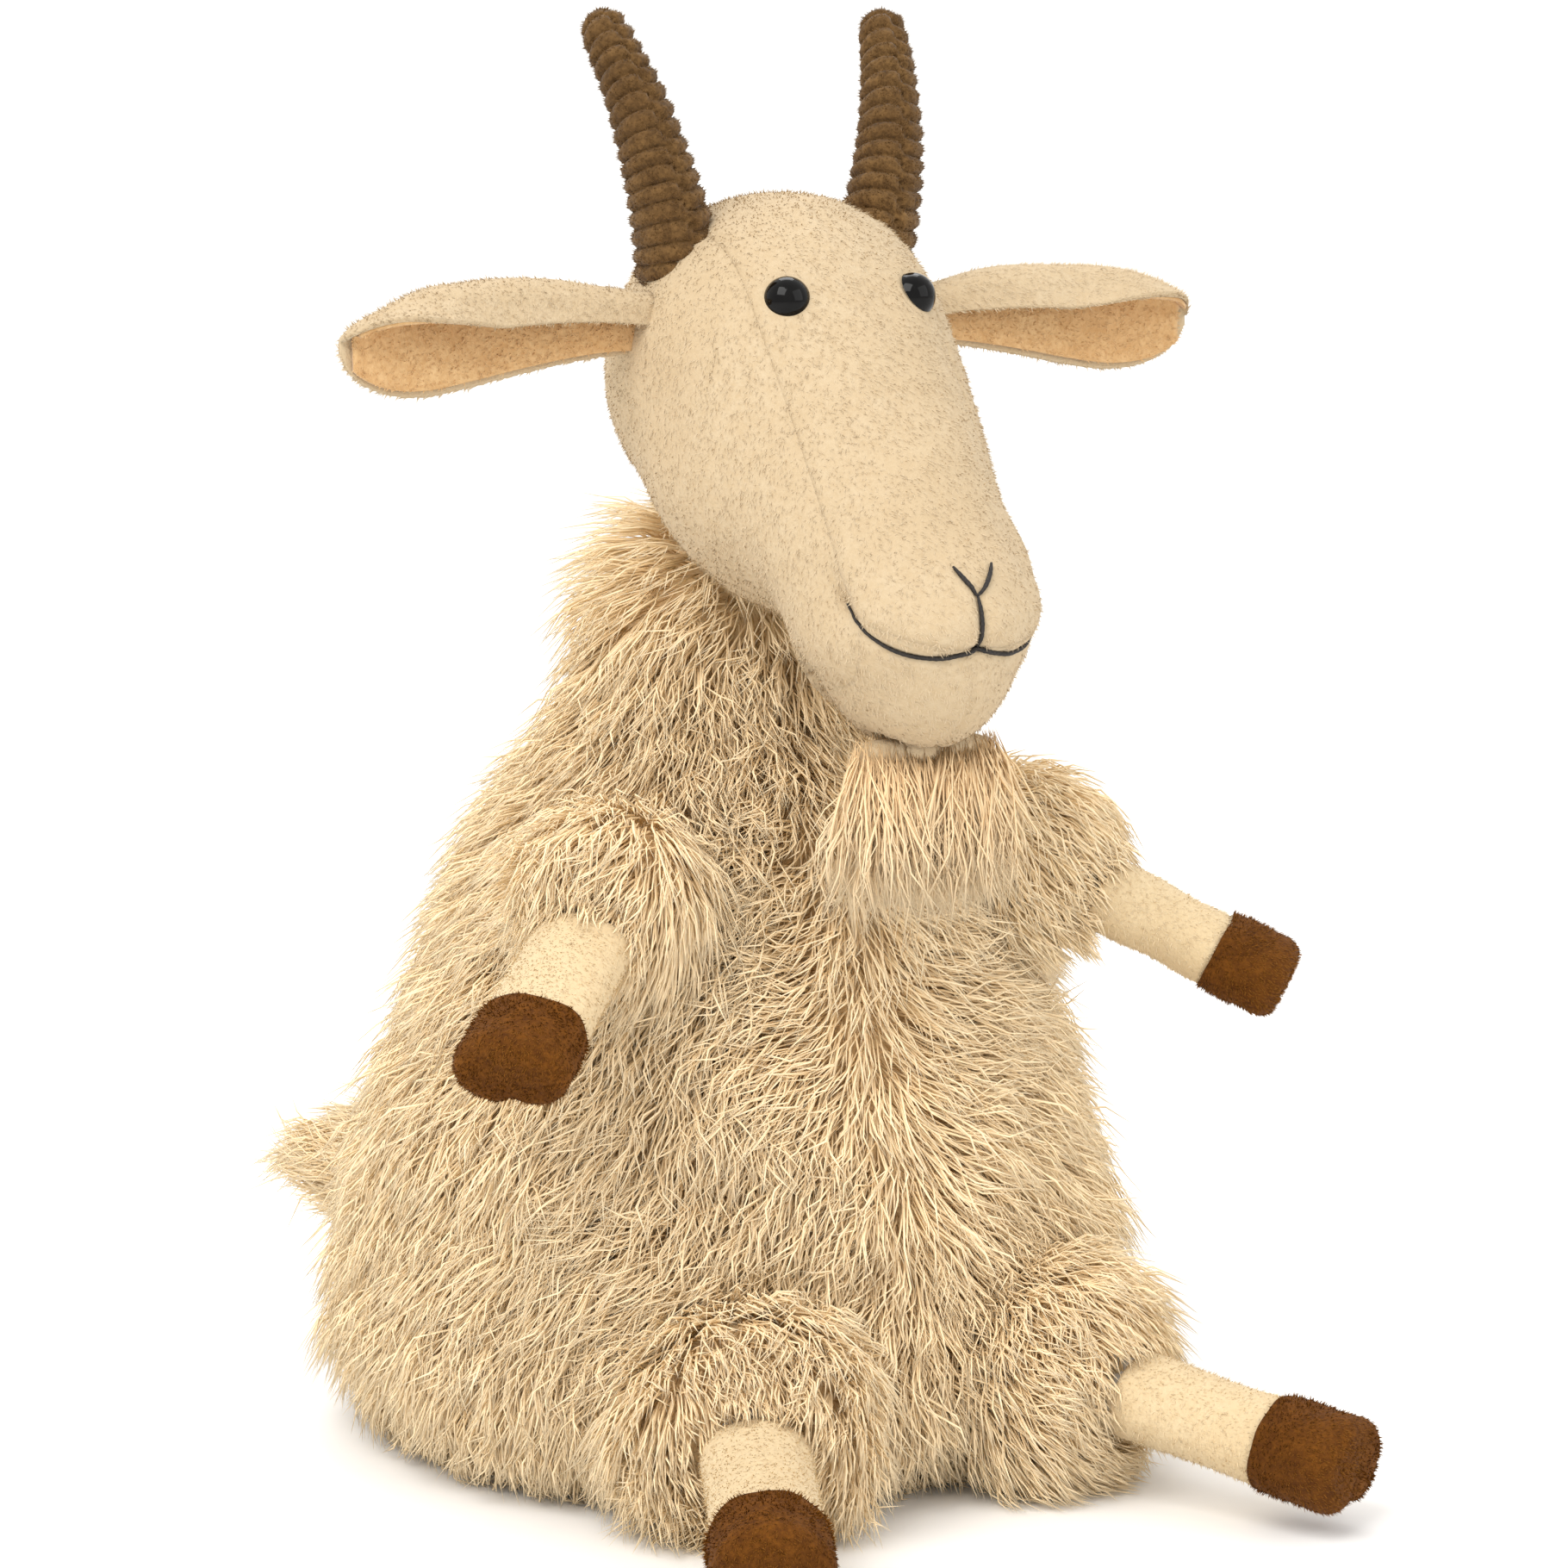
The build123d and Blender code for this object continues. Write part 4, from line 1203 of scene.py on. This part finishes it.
def kept_bare(points):
    """Where no pile grows: close to a thread or an eye."""
    return (nearest_gap(points, threads) < THREAD_CLEARING) | (nearest_gap(points, eyes) < EYE_CLEARING)


short_pile(
    "head_pile", head_tops, 37000, head_comb, "head", cream_nap, 61,
    length=1.3, width=0.34, lean=64, bare=kept_bare,
)
print("threads and head pile made")

# %% [markdown]
# ## Horns
# Each horn is a bent cone of jumbo corduroy.  Its ribs run round it: the radius swells and dips along
# the horn, with narrow grooves between broad ribs.  A seam runs up the front, and the ribs on its two
# sides don't quite meet, so their phase slips where they cross it.

# %% Horns
RIB_PITCH = 3.9 * MM
HORN_ROOT_RADIUS, HORN_TIP_RADIUS = 10.3 * MM, 5.4 * MM


def slice_middle(node, level):
    """The middle of a node's cut at a height, from the box of the vertices close to it."""
    points = points_of(node)
    near = points[np.abs(points[:, 2] - level) < 1.5 * MM]
    return np.append((near[:, :2].min(0) + near[:, :2].max(0)) / 2, level)


def horn_line(node, count):
    """A quadratic curve through three cuts of the horn, begun a little inside the head."""
    low_corner, high_corner = box_of(node)
    levels = high_corner[2] - np.array([52, 28, 5.5]) * MM
    cuts = np.array([slice_middle(node, level) for level in levels])
    t = np.linspace(-0.22, 1.0, count)[:, None]
    return cuts[0] * (1 - t) * (1 - 2 * t) + cuts[1] * 4 * t * (1 - t) + cuts[2] * t * (2 * t - 1)


def horn_rings(node, inset, count=230, columns=54, ribs=True):
    """Rings of the horn, square to its line, with ribs and a rounded tip."""
    line = horn_line(node, count)
    way = unit(np.gradient(line, axis=0))
    run = np.concatenate([[0], np.cumsum(np.linalg.norm(np.diff(line, axis=0), axis=-1))])
    front = unit(np.cross(way, np.cross([0, -1.0, 0.3], way)))
    other = np.cross(way, front)
    turn = np.linspace(-np.pi, np.pi, columns, endpoint=False)
    radius = HORN_ROOT_RADIUS + (HORN_TIP_RADIUS - HORN_ROOT_RADIUS) * run / run[-1] - inset
    left = run[-1] - run + 1e-5
    cap = HORN_TIP_RADIUS - inset
    radius = np.where(left < cap, radius * np.sqrt(np.clip(1 - (1 - left / cap) ** 2, 0.02, 1)), radius)
    radius = radius[:, None] * np.ones(columns)
    if ribs:
        slip = 0.38 * np.tanh(turn / 0.12) * (np.cos(turn / 2) ** 2)
        wobble = 0.05 * np.sin(3 * turn + 1.3)
        phase = run[:, None] / RIB_PITCH + slip + wobble + 0.09 * np.sin(run[:, None] * 260)
        rib = np.abs(np.sin(np.pi * phase)) ** 0.5
        fade = np.clip(left / (4 * MM), 0, 1)[:, None]
        radius = radius + fade * 1.6 * MM * (rib - 0.88) - 0.7 * MM * bump_shape(turn, 0.11)
    circle = circle_round(front, other, turn)
    rings = line[:, None] + circle * radius[..., None]
    return rings + 0.16 * MM * soft_noise(rings, 0.02, 71)[..., None] * circle, circle


for side in SIDES:
    node = f"{side}_horn_cover"
    rings, circle = horn_rings(node, 0.5 * MM)
    inner, _ = horn_rings(node, 2.4 * MM, ribs=False)
    horn = new_object(f"{side}_horn_corduroy", *capped_tube(rings), cord_plush)
    belongs(horn, "head", node)
    core = new_object(f"{side}_horn_fibre", *capped_tube(inner[::6, ::4]), filling)
    belongs(core, "head", f"{side}_horn_stuffing")
    short_pile(
        f"{side}_horn_pile", [(rings, circle)], 5500, straight_comb([0, 0, 1.0]), "head",
        horn_nap, 63, length=0.75, lean=35,
    )
print("horns made")

# %% [markdown]
# ## Ears
# An ear is two leaves of plush sewn together and folded: the top edge rolls forward over the lining.  Its
# cross-section is a curve whose heading turns as it goes up: straight through the hanging part, then
# quickly round in the roll.  Along the ear the section grows from the narrow sewn root and closes at the
# round tip.

# %% Ears
def ear_sheet(side, offset, edge, rows=60, columns=64):
    """A grid on the folded ear, set back by offset from its middle cloth and kept in from its edges."""
    root = pivot(f"{side}_ear_flap")
    low_corner, high_corner = box_of(f"{side}_ear_outer")
    sign = SIDES[side]
    reach = (high_corner[0] if sign > 0 else -low_corner[0]) - abs(root[0])
    u = np.linspace(-0.04, 1 - 0.5 * edge, rows)
    t = np.clip(u, 0, 1)
    width = 18.5 * MM * (0.60 + 0.40 * np.sin(np.pi * np.clip(t * 0.80, 0, 1)) ** 1.3)
    width = width * np.sqrt(np.clip(1 - np.clip((t - 0.62) / 0.38, 0, 1) ** 2.4, 0.015, 1))
    v = np.linspace(-1 + edge, 1 - edge, columns)
    heading = np.radians(96 - 182 * np.clip((v + 0.12) / 0.78, 0, 1) ** 1.15)
    tight = np.interp(t, [0, 0.5, 1], [1.0, 0.93, 0.55])[:, None]
    heading = np.radians(96) + (heading - np.radians(96))[None, :] * tight
    step = (v[1] - v[0]) * width[:, None]
    forward = np.cumsum(np.cos(heading), 1) * step
    up = np.cumsum(np.sin(heading), 1) * step
    middle = columns // 2
    forward = forward - forward[:, middle: middle + 1]
    up = up - up[:, middle: middle + 1]
    normal_forward, normal_up = -np.sin(heading), np.cos(heading)
    line_z = 2.5 * MM + 4.0 * MM * np.sin(np.pi * t * 0.9) - 8.0 * MM * t**2
    line_y = 3.0 * MM * np.sin(np.pi * t) - 2.0 * MM * t
    x = root[0] + sign * (u * reach)
    y = root[1] - (forward + offset * normal_forward) + line_y[:, None]
    z = root[2] + up + offset * normal_up + line_z[:, None]
    points = np.stack([np.broadcast_to(x[:, None], y.shape), y, z], -1)
    normal = np.stack(
        [np.zeros_like(y), -normal_forward * np.ones_like(y), normal_up * np.ones_like(y)], -1
    )
    ripple = 0.5 * MM * soft_noise(points, 0.02, 81)
    return points + ripple[..., None] * normal, normal


for side, sign in SIDES.items():
    back_face, back_normal = ear_sheet(side, 1.3 * MM, 0.0)
    middle_face, _ = ear_sheet(side, 0.0, 0.0)
    lining_back, _ = ear_sheet(side, -0.15 * MM, 0.07)
    lining_face, lining_normal = ear_sheet(side, -1.3 * MM, 0.07)
    shell = new_object(f"{side}_ear_plush", *thick_sheet(back_face, middle_face), cream_plush)
    lining = new_object(f"{side}_ear_lining", *thick_sheet(lining_face, lining_back), lining_plush)
    for piece, slot, node in ((shell, "short_plush", "outer"), (lining, "ear_lining", "inner")):
        belongs(piece, f"{side}_ear", f"{side}_ear_{node}")
    way = np.array([sign, 0.0, -0.25])
    edges = [
        (np.stack([back_face[:, k], middle_face[:, k]], 1), np.stack([back_normal[:, k]] * 2, 1))
        for k in (0, -1)
    ]
    short_pile(
        f"{side}_ear_pile", [(back_face, back_normal), *edges], 5000, straight_comb(way), f"{side}_ear",
        cream_nap, 65,
    )
    short_pile(
        f"{side}_lining_pile", [(lining_face, -lining_normal)], 3500, straight_comb(way), f"{side}_ear",
        lining_nap, 66, width=0.42, lean=68,
    )
print("ears made")

# %% [markdown]
# ## Beard
# The beard is a tuft of long pile sewn into the chin seam.  Its roots sit on a short roll under the
# chin, and its long fibres hang and spread a little.

# %% Beard
hinge = pivot("beard_swing")
BEARD_HALF = 17.0 * MM
BEARD_ROLL = 3.2 * MM
roll_line = np.stack([np.linspace(-BEARD_HALF, BEARD_HALF, 40), np.full(40, 1.0)], -1)
roll_line[:, 1] = BEARD_ROLL * np.sqrt(np.clip(1 - (roll_line[:, 0] / BEARD_HALF) ** 6, 0.05, 1))
roll = new_object(
    "beard_roll", *capped_tube(turned_rings(hinge, [1, 0, 0], [0, 0, 1], roll_line, 28)), cream_plush
)
belongs(roll, "beard", "beard")
chance = np.random.default_rng(41)
BEARD_LOCKS = 280
spot = chance.uniform(-1, 1, BEARD_LOCKS)
turn = np.radians(chance.uniform(-175, 175, BEARD_LOCKS))
around = np.stack([np.zeros(BEARD_LOCKS), -np.sin(turn), -np.cos(turn)], -1)
beard_roots = hinge + spot[:, None] * BEARD_HALF * np.array([1.0, 0, 0]) + BEARD_ROLL * 0.9 * around
drift = 0.02 * spot + chance.normal(0, 0.1, BEARD_LOCKS)
beard_combs = np.stack([drift, 0.12 * around[:, 1], np.full(BEARD_LOCKS, -1.0)], -1)
beard_lengths = MM * (33 - 5 * np.abs(spot) ** 2.2 + chance.uniform(-9, 4, BEARD_LOCKS))
BEARD_STYLE = {
    "per_lock": 12, "lock_radius": 2.7 * MM, "stray": 13.0, "lift": 13.0, "lay": 2.0, "gather": 0.55,
    "wave": 0.1, "curls": 1.1, "droop": 0.12, "width": 0.56 * MM,
}
beard_normals = unit(np.stack([0.25 * spot, np.sign(around[:, 1]), np.zeros(BEARD_LOCKS)], -1))
fur_piece(
    "beard_fur", beard_roots, beard_normals, beard_combs, beard_lengths, chance, "beard", "beard_fur",
    beard_fibre, BEARD_STYLE,
)
print("beard fibres:", BEARD_LOCKS * BEARD_STYLE["per_lock"])

# %% [markdown]
# ## Limbs
# An arm and a leg are made alike: a furry sleeve round a ball of stuffing, an oval lower part of short
# plush, and a velour hoof that is folded in at its sole like a kidney.  A limb is laid out along its own
# axis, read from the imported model.

# %% Limb shapes
def ring_shell(outer, inner):
    """Points and faces of an open tube with a wall: outer rings, then inner ones back to the start."""
    rings = np.concatenate([outer, inner[::-1]])
    rows, columns = rings.shape[:2]
    faces = grid_faces(rows, columns)
    closing = grid_faces(2, columns)
    closing = np.where(closing < columns, closing + (rows - 1) * columns, closing - columns)
    return rings.reshape(-1, 3), [faces, closing]


def oval_rings(origin, axis, across, stations, wide, high, shape, columns=72):
    """Rings of an oval tube: half width and half height at each station, times a shape of the turn."""
    up = np.cross(axis, across)
    turn = np.linspace(0, 2 * np.pi, columns, endpoint=False)
    grow = shape(turn)
    c, s = np.cos(turn)[None, :] * grow, np.sin(turn)[None, :] * grow
    rings = (
        origin + stations[:, None, None] * axis
        + (wide * c)[..., None] * across + (high * s)[..., None] * up
    )
    return rings, unit(np.cos(turn)[:, None] / wide * across + np.sin(turn)[:, None] / high * up)


def limb_style(lift, lay, droop):
    """The body's lock with its own lift, lay and droop."""
    return {**BODY_STYLE, "lift": lift, "lay": lay, "droop": droop}


def measure_limb(side, kind):
    """A limb's own axes at its joint and its sizes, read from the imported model, with its names."""
    names = LIMBS[kind]
    origin = pivot(f"{side}_{names['joint']}")
    low_corner, high_corner = box_of(f"{side}_{names['cover']}")
    axis = unit((low_corner + high_corner) / 2 - origin)
    axes = (origin, axis, unit(np.array([-axis[1], axis[0], 0.0])))
    start, cuff, wide, high = measure_along(f"{side}_{names['cover']}", *axes)
    _, sole, _, _ = measure_along(f"{side}_{names['hoof']}", *axes)
    _, sleeve_end, ball, _ = measure_along(f"{side}_{names['sleeve']}", *axes)
    return SimpleNamespace(
        side=side, kind=kind, body=f"{side}_{kind}", names=names, axes=axes, start=start, cuff=cuff,
        wide=wide, high=high, sole=sole, sleeve_end=sleeve_end, ball=ball - names["inset"],
        seed=names["seed"] + (0 if side == "left" else 7),
    )


def dress_sleeve(limb):
    """The sleeve's skin, a ball that runs into a cuff, and the fur on it."""
    names = limb.names
    turn = np.linspace(-np.pi / 2 + 0.15, 0.9, 40)
    line = np.stack([limb.ball * np.sin(turn), limb.ball * np.cos(turn)], -1)
    neck = np.linspace(line[-1, 0], limb.sleeve_end - names["cuff_gap"], 30)[1:]
    run = (neck - neck[0]) / (neck[-1] - neck[0])
    cuff_radius = min(limb.wide, limb.high) - 0.2 * MM
    neck_r = line[-1, 1] + (cuff_radius - line[-1, 1]) * (3 * run**2 - 2 * run**3)
    line = np.vstack([line, np.stack([neck, neck_r], -1)])
    node = f"{limb.side}_{names['sleeve']}"
    rings = turned_rings(*limb.axes, line, 60)
    inner = turned_rings(*limb.axes, line - [0, SKIN], 60)
    skin = new_object(f"{node}_skin", *ring_shell(rings, inner), backing)
    belongs(skin, limb.body, node)

    chance = np.random.default_rng(limb.seed)
    density = names["density"] / MM**2 / BODY_STYLE["per_lock"]
    roots, normals, onward = turned_guides(*limb.axes, line[3:], density, chance)
    sway = 30 * soft_noise(roots, 0.03, limb.seed) + chance.normal(0, 15, len(roots))
    onward = turn_about(normals, unit(onward + [0, 0, -0.35]), sway)
    uneven = 3 * soft_noise(roots, 0.02, limb.seed + 1)
    lengths = MM * (names["pile"] + uneven + chance.uniform(-2, 2, len(roots)))
    origin, axis, _ = limb.axes
    lengths *= np.interp((roots - origin) @ axis, [0, neck[-1]], [1.0, names["cuff_share"]])
    style = limb_style(names["lift"], names["lay"], names["droop"])
    fur_piece(
        f"{node}_fur", roots, normals, onward, lengths, chance, limb.body, "long_fur", fur_fibre, style
    )
    return len(roots)


def dress_cover(limb):
    """The oval lower cover, drawn in a little at its middle and its end, and its nap."""
    stations = np.linspace(limb.start + 2 * MM, limb.cuff, 44)
    run = (stations - stations[0]) / (stations[-1] - stations[0])
    puff = 1.0 - 0.035 * np.sin(np.pi * run) - 0.06 * bump_shape(run - 1, 0.035)

    def crease(turn):
        """One soft crease along the cover."""
        return puff[:, None] * (1 - 0.03 * bump_shape(np.cos(turn[None, :] + 1.2) - 1, 0.02))

    wide, high = limb.wide, limb.high
    outer, circle = oval_rings(*limb.axes, stations, wide - PLUSH_DEPTH, high - PLUSH_DEPTH, crease)
    outer += 0.5 * MM * soft_noise(outer, 0.022, limb.seed + 2)[..., None] * circle
    inner, _ = oval_rings(*limb.axes, stations, wide - 2.2 * MM, high - 2.2 * MM, crease)
    node = f"{limb.side}_{limb.names['cover']}"
    cover = new_object(f"{node}_plush", *ring_shell(outer, inner), limb_plush)
    belongs(cover, limb.body, node)
    short_pile(
        f"{limb.side}_{limb.kind}_pile", [(outer, np.broadcast_to(circle, outer.shape))], LIMB_PILE,
        straight_comb(limb.axes[1]), limb.body, limb_nap, limb.seed + 3,
    )


def hoof_sides(limb):
    """Stations and scales of a hoof: its flared side, its rounded edge and its flat sole."""
    cuff, sole = limb.cuff, limb.sole
    turn = np.linspace(0, np.pi / 2, 26)[1:]
    edge = 4.2 * MM
    side = np.linspace(cuff - 0.4 * MM, sole - edge, 26)
    inward = np.linspace(0.68, 0.04, 14)
    flat = np.full(14, sole) + 0.4 * MM * (1 - inward / 0.68)
    stations = np.concatenate([side, sole - edge + edge * np.sin(turn), flat])
    flare = np.interp(side, [cuff, cuff + 0.35 * (sole - cuff), sole], [0.94, 1.0, 1.02])
    scale = np.concatenate([flare, flare[-1] * (0.70 + 0.30 * np.cos(turn)), flare[-1] * inward])
    return stations, scale


def dress_hoof(limb):
    """The velour hoof, a padded cup that is folded in underneath, and its nap."""
    origin, axis, _ = limb.axes
    length = limb.sole - limb.cuff
    stations, scale = hoof_sides(limb)
    depth = np.clip((stations - limb.cuff) / length, 0, 1)

    def kidney(turn):
        """The fold: the radius dips about the lowest heading, deeper towards the sole."""
        below = np.arctan2(np.sin(turn + np.pi / 2), np.cos(turn + np.pi / 2))
        return scale[:, None] * (1 - (0.06 + 0.32 * depth[:, None]) * bump_shape(below, 0.40)[None, :])

    rings, _ = oval_rings(*limb.axes, stations, limb.wide, limb.high * 1.04, kidney)
    normals = unit(rings - (origin + (limb.sole - 0.6 * length) * axis))
    rings += 0.45 * MM * soft_noise(rings, 0.012, limb.seed + 4)[..., None] * normals
    inner = (rings - 1.5 * MM * normals)[:-6]
    node = f"{limb.side}_{limb.names['hoof']}"
    hoof = new_object(f"{node}_velour", *capped_tube(np.concatenate([inner[::-1], rings])), hoof_plush)
    belongs(hoof, limb.body, node)
    short_pile(
        f"{node}_pile", [(rings, normals)], LIMB_PILE, straight_comb(axis), limb.body,
        hoof_nap, limb.seed + 5, length=1.1, lean=45,
    )


def dress_core(limb):
    """The limb's stuffing: a ball in the sleeve and a bar down to the hoof."""
    ball = limb.ball - 2 * SKIN
    turn = np.linspace(-np.pi / 2 + 0.1, 1.0, 20)
    line = np.stack([ball * np.sin(turn), ball * np.cos(turn)], -1)
    stations = np.linspace(line[-1, 0] + 2 * MM, limb.sole - 3 * MM, 30)
    bar = np.stack([stations, np.full(30, limb.high - 3.0 * MM)], -1)
    rings = turned_rings(*limb.axes, np.vstack([line, bar]), 40)
    core = new_object(f"{limb.side}_{limb.kind}_fibre", *capped_tube(rings), filling)
    belongs(core, limb.body, f"{limb.side}_{limb.kind}_stuffing")


# %% Arms and legs
LIMB_PILE = 3600
LIMBS = {
    "arm": {
        "joint": "arm_swing", "sleeve": "sleeve", "cover": "forearm_cover", "hoof": "front_hoof",
        "seed": 201, "inset": 4.5 * MM, "density": 1.05, "pile": 18.5, "lift": 44.0, "lay": -3.0, "droop": 0.30,
        "cuff_gap": 11 * MM, "cuff_share": 0.5,
    },
    "leg": {
        "joint": "leg_splay", "sleeve": "thigh_cover", "cover": "shin_cover", "hoof": "hind_hoof",
        "seed": 301, "inset": 3.0 * MM, "density": 0.95, "pile": 21.0, "lift": 54.0, "lay": 2.0, "droop": 0.22,
        "cuff_gap": 12 * MM, "cuff_share": 0.52,
    },
}
for kind in LIMBS:
    for side in SIDES:
        limb = measure_limb(side, kind)
        print(side, kind, "locks:", dress_sleeve(limb))
        dress_cover(limb)
        dress_hoof(limb)
        dress_core(limb)

# %% [markdown]
# ## Tail
# The tail is a short tuft that hangs out at the right of the rump.  Its skin is a small pointed bag, and
# its pile lies along it.

# %% Tail
tail_root = pivot("tail_wag")
low_corner, high_corner = box_of("tail")
tail_end = np.array([low_corner[0], high_corner[1], tail_root[2] + 6 * MM])
tail_axis = unit(tail_end - tail_root)
tail_run = np.linalg.norm(tail_end - tail_root)
t = np.linspace(0, 1, 50)
tail_line = np.stack(
    [-7 * MM + (tail_run * 0.72 + 7 * MM) * t, 8.5 * MM * np.sin(np.pi * (0.06 + 0.92 * t)) ** 0.7], -1
)
skin = new_object(
    "tail_skin", *capped_tube(turned_rings(tail_root, tail_axis, [0, 0, 1], tail_line, 48)), backing
)
belongs(skin, "tail", "tail")
chance = np.random.default_rng(401)
roots, normals, onward = turned_guides(
    tail_root, tail_axis, [0, 0, 1], tail_line[4:], 1.5 / MM**2 / BODY_STYLE["per_lock"], chance
)
onward = turn_about(normals, onward, chance.normal(0, 16, len(roots)))
lengths = MM * (19 + chance.uniform(-3, 4, len(roots)))
fur_piece(
    "tail_fur", roots, normals, onward, lengths, chance, "tail", "long_fur", fur_fibre,
    limb_style(40, -4, 0.1),
)
print("tail locks:", len(roots))

# %% [markdown]
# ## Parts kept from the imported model
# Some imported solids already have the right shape: the eyes, their washers inside the head and the
# closing threads.  They only need their finish.

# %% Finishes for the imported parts
kept = {"neck_seam": closing_cotton}
for side in SIDES:
    kept[f"{side}_eye"] = eye_black
    kept[f"{side}_eye_washer"] = washer_white
    kept[f"{side}_shoulder_seam"] = closing_cotton
    kept[f"{side}_hip_seam"] = closing_cotton
for node, material in kept.items():
    for slot in frame["nodes"][node].material_slots:
        slot.material = material
print("kept parts dressed:", len(kept))
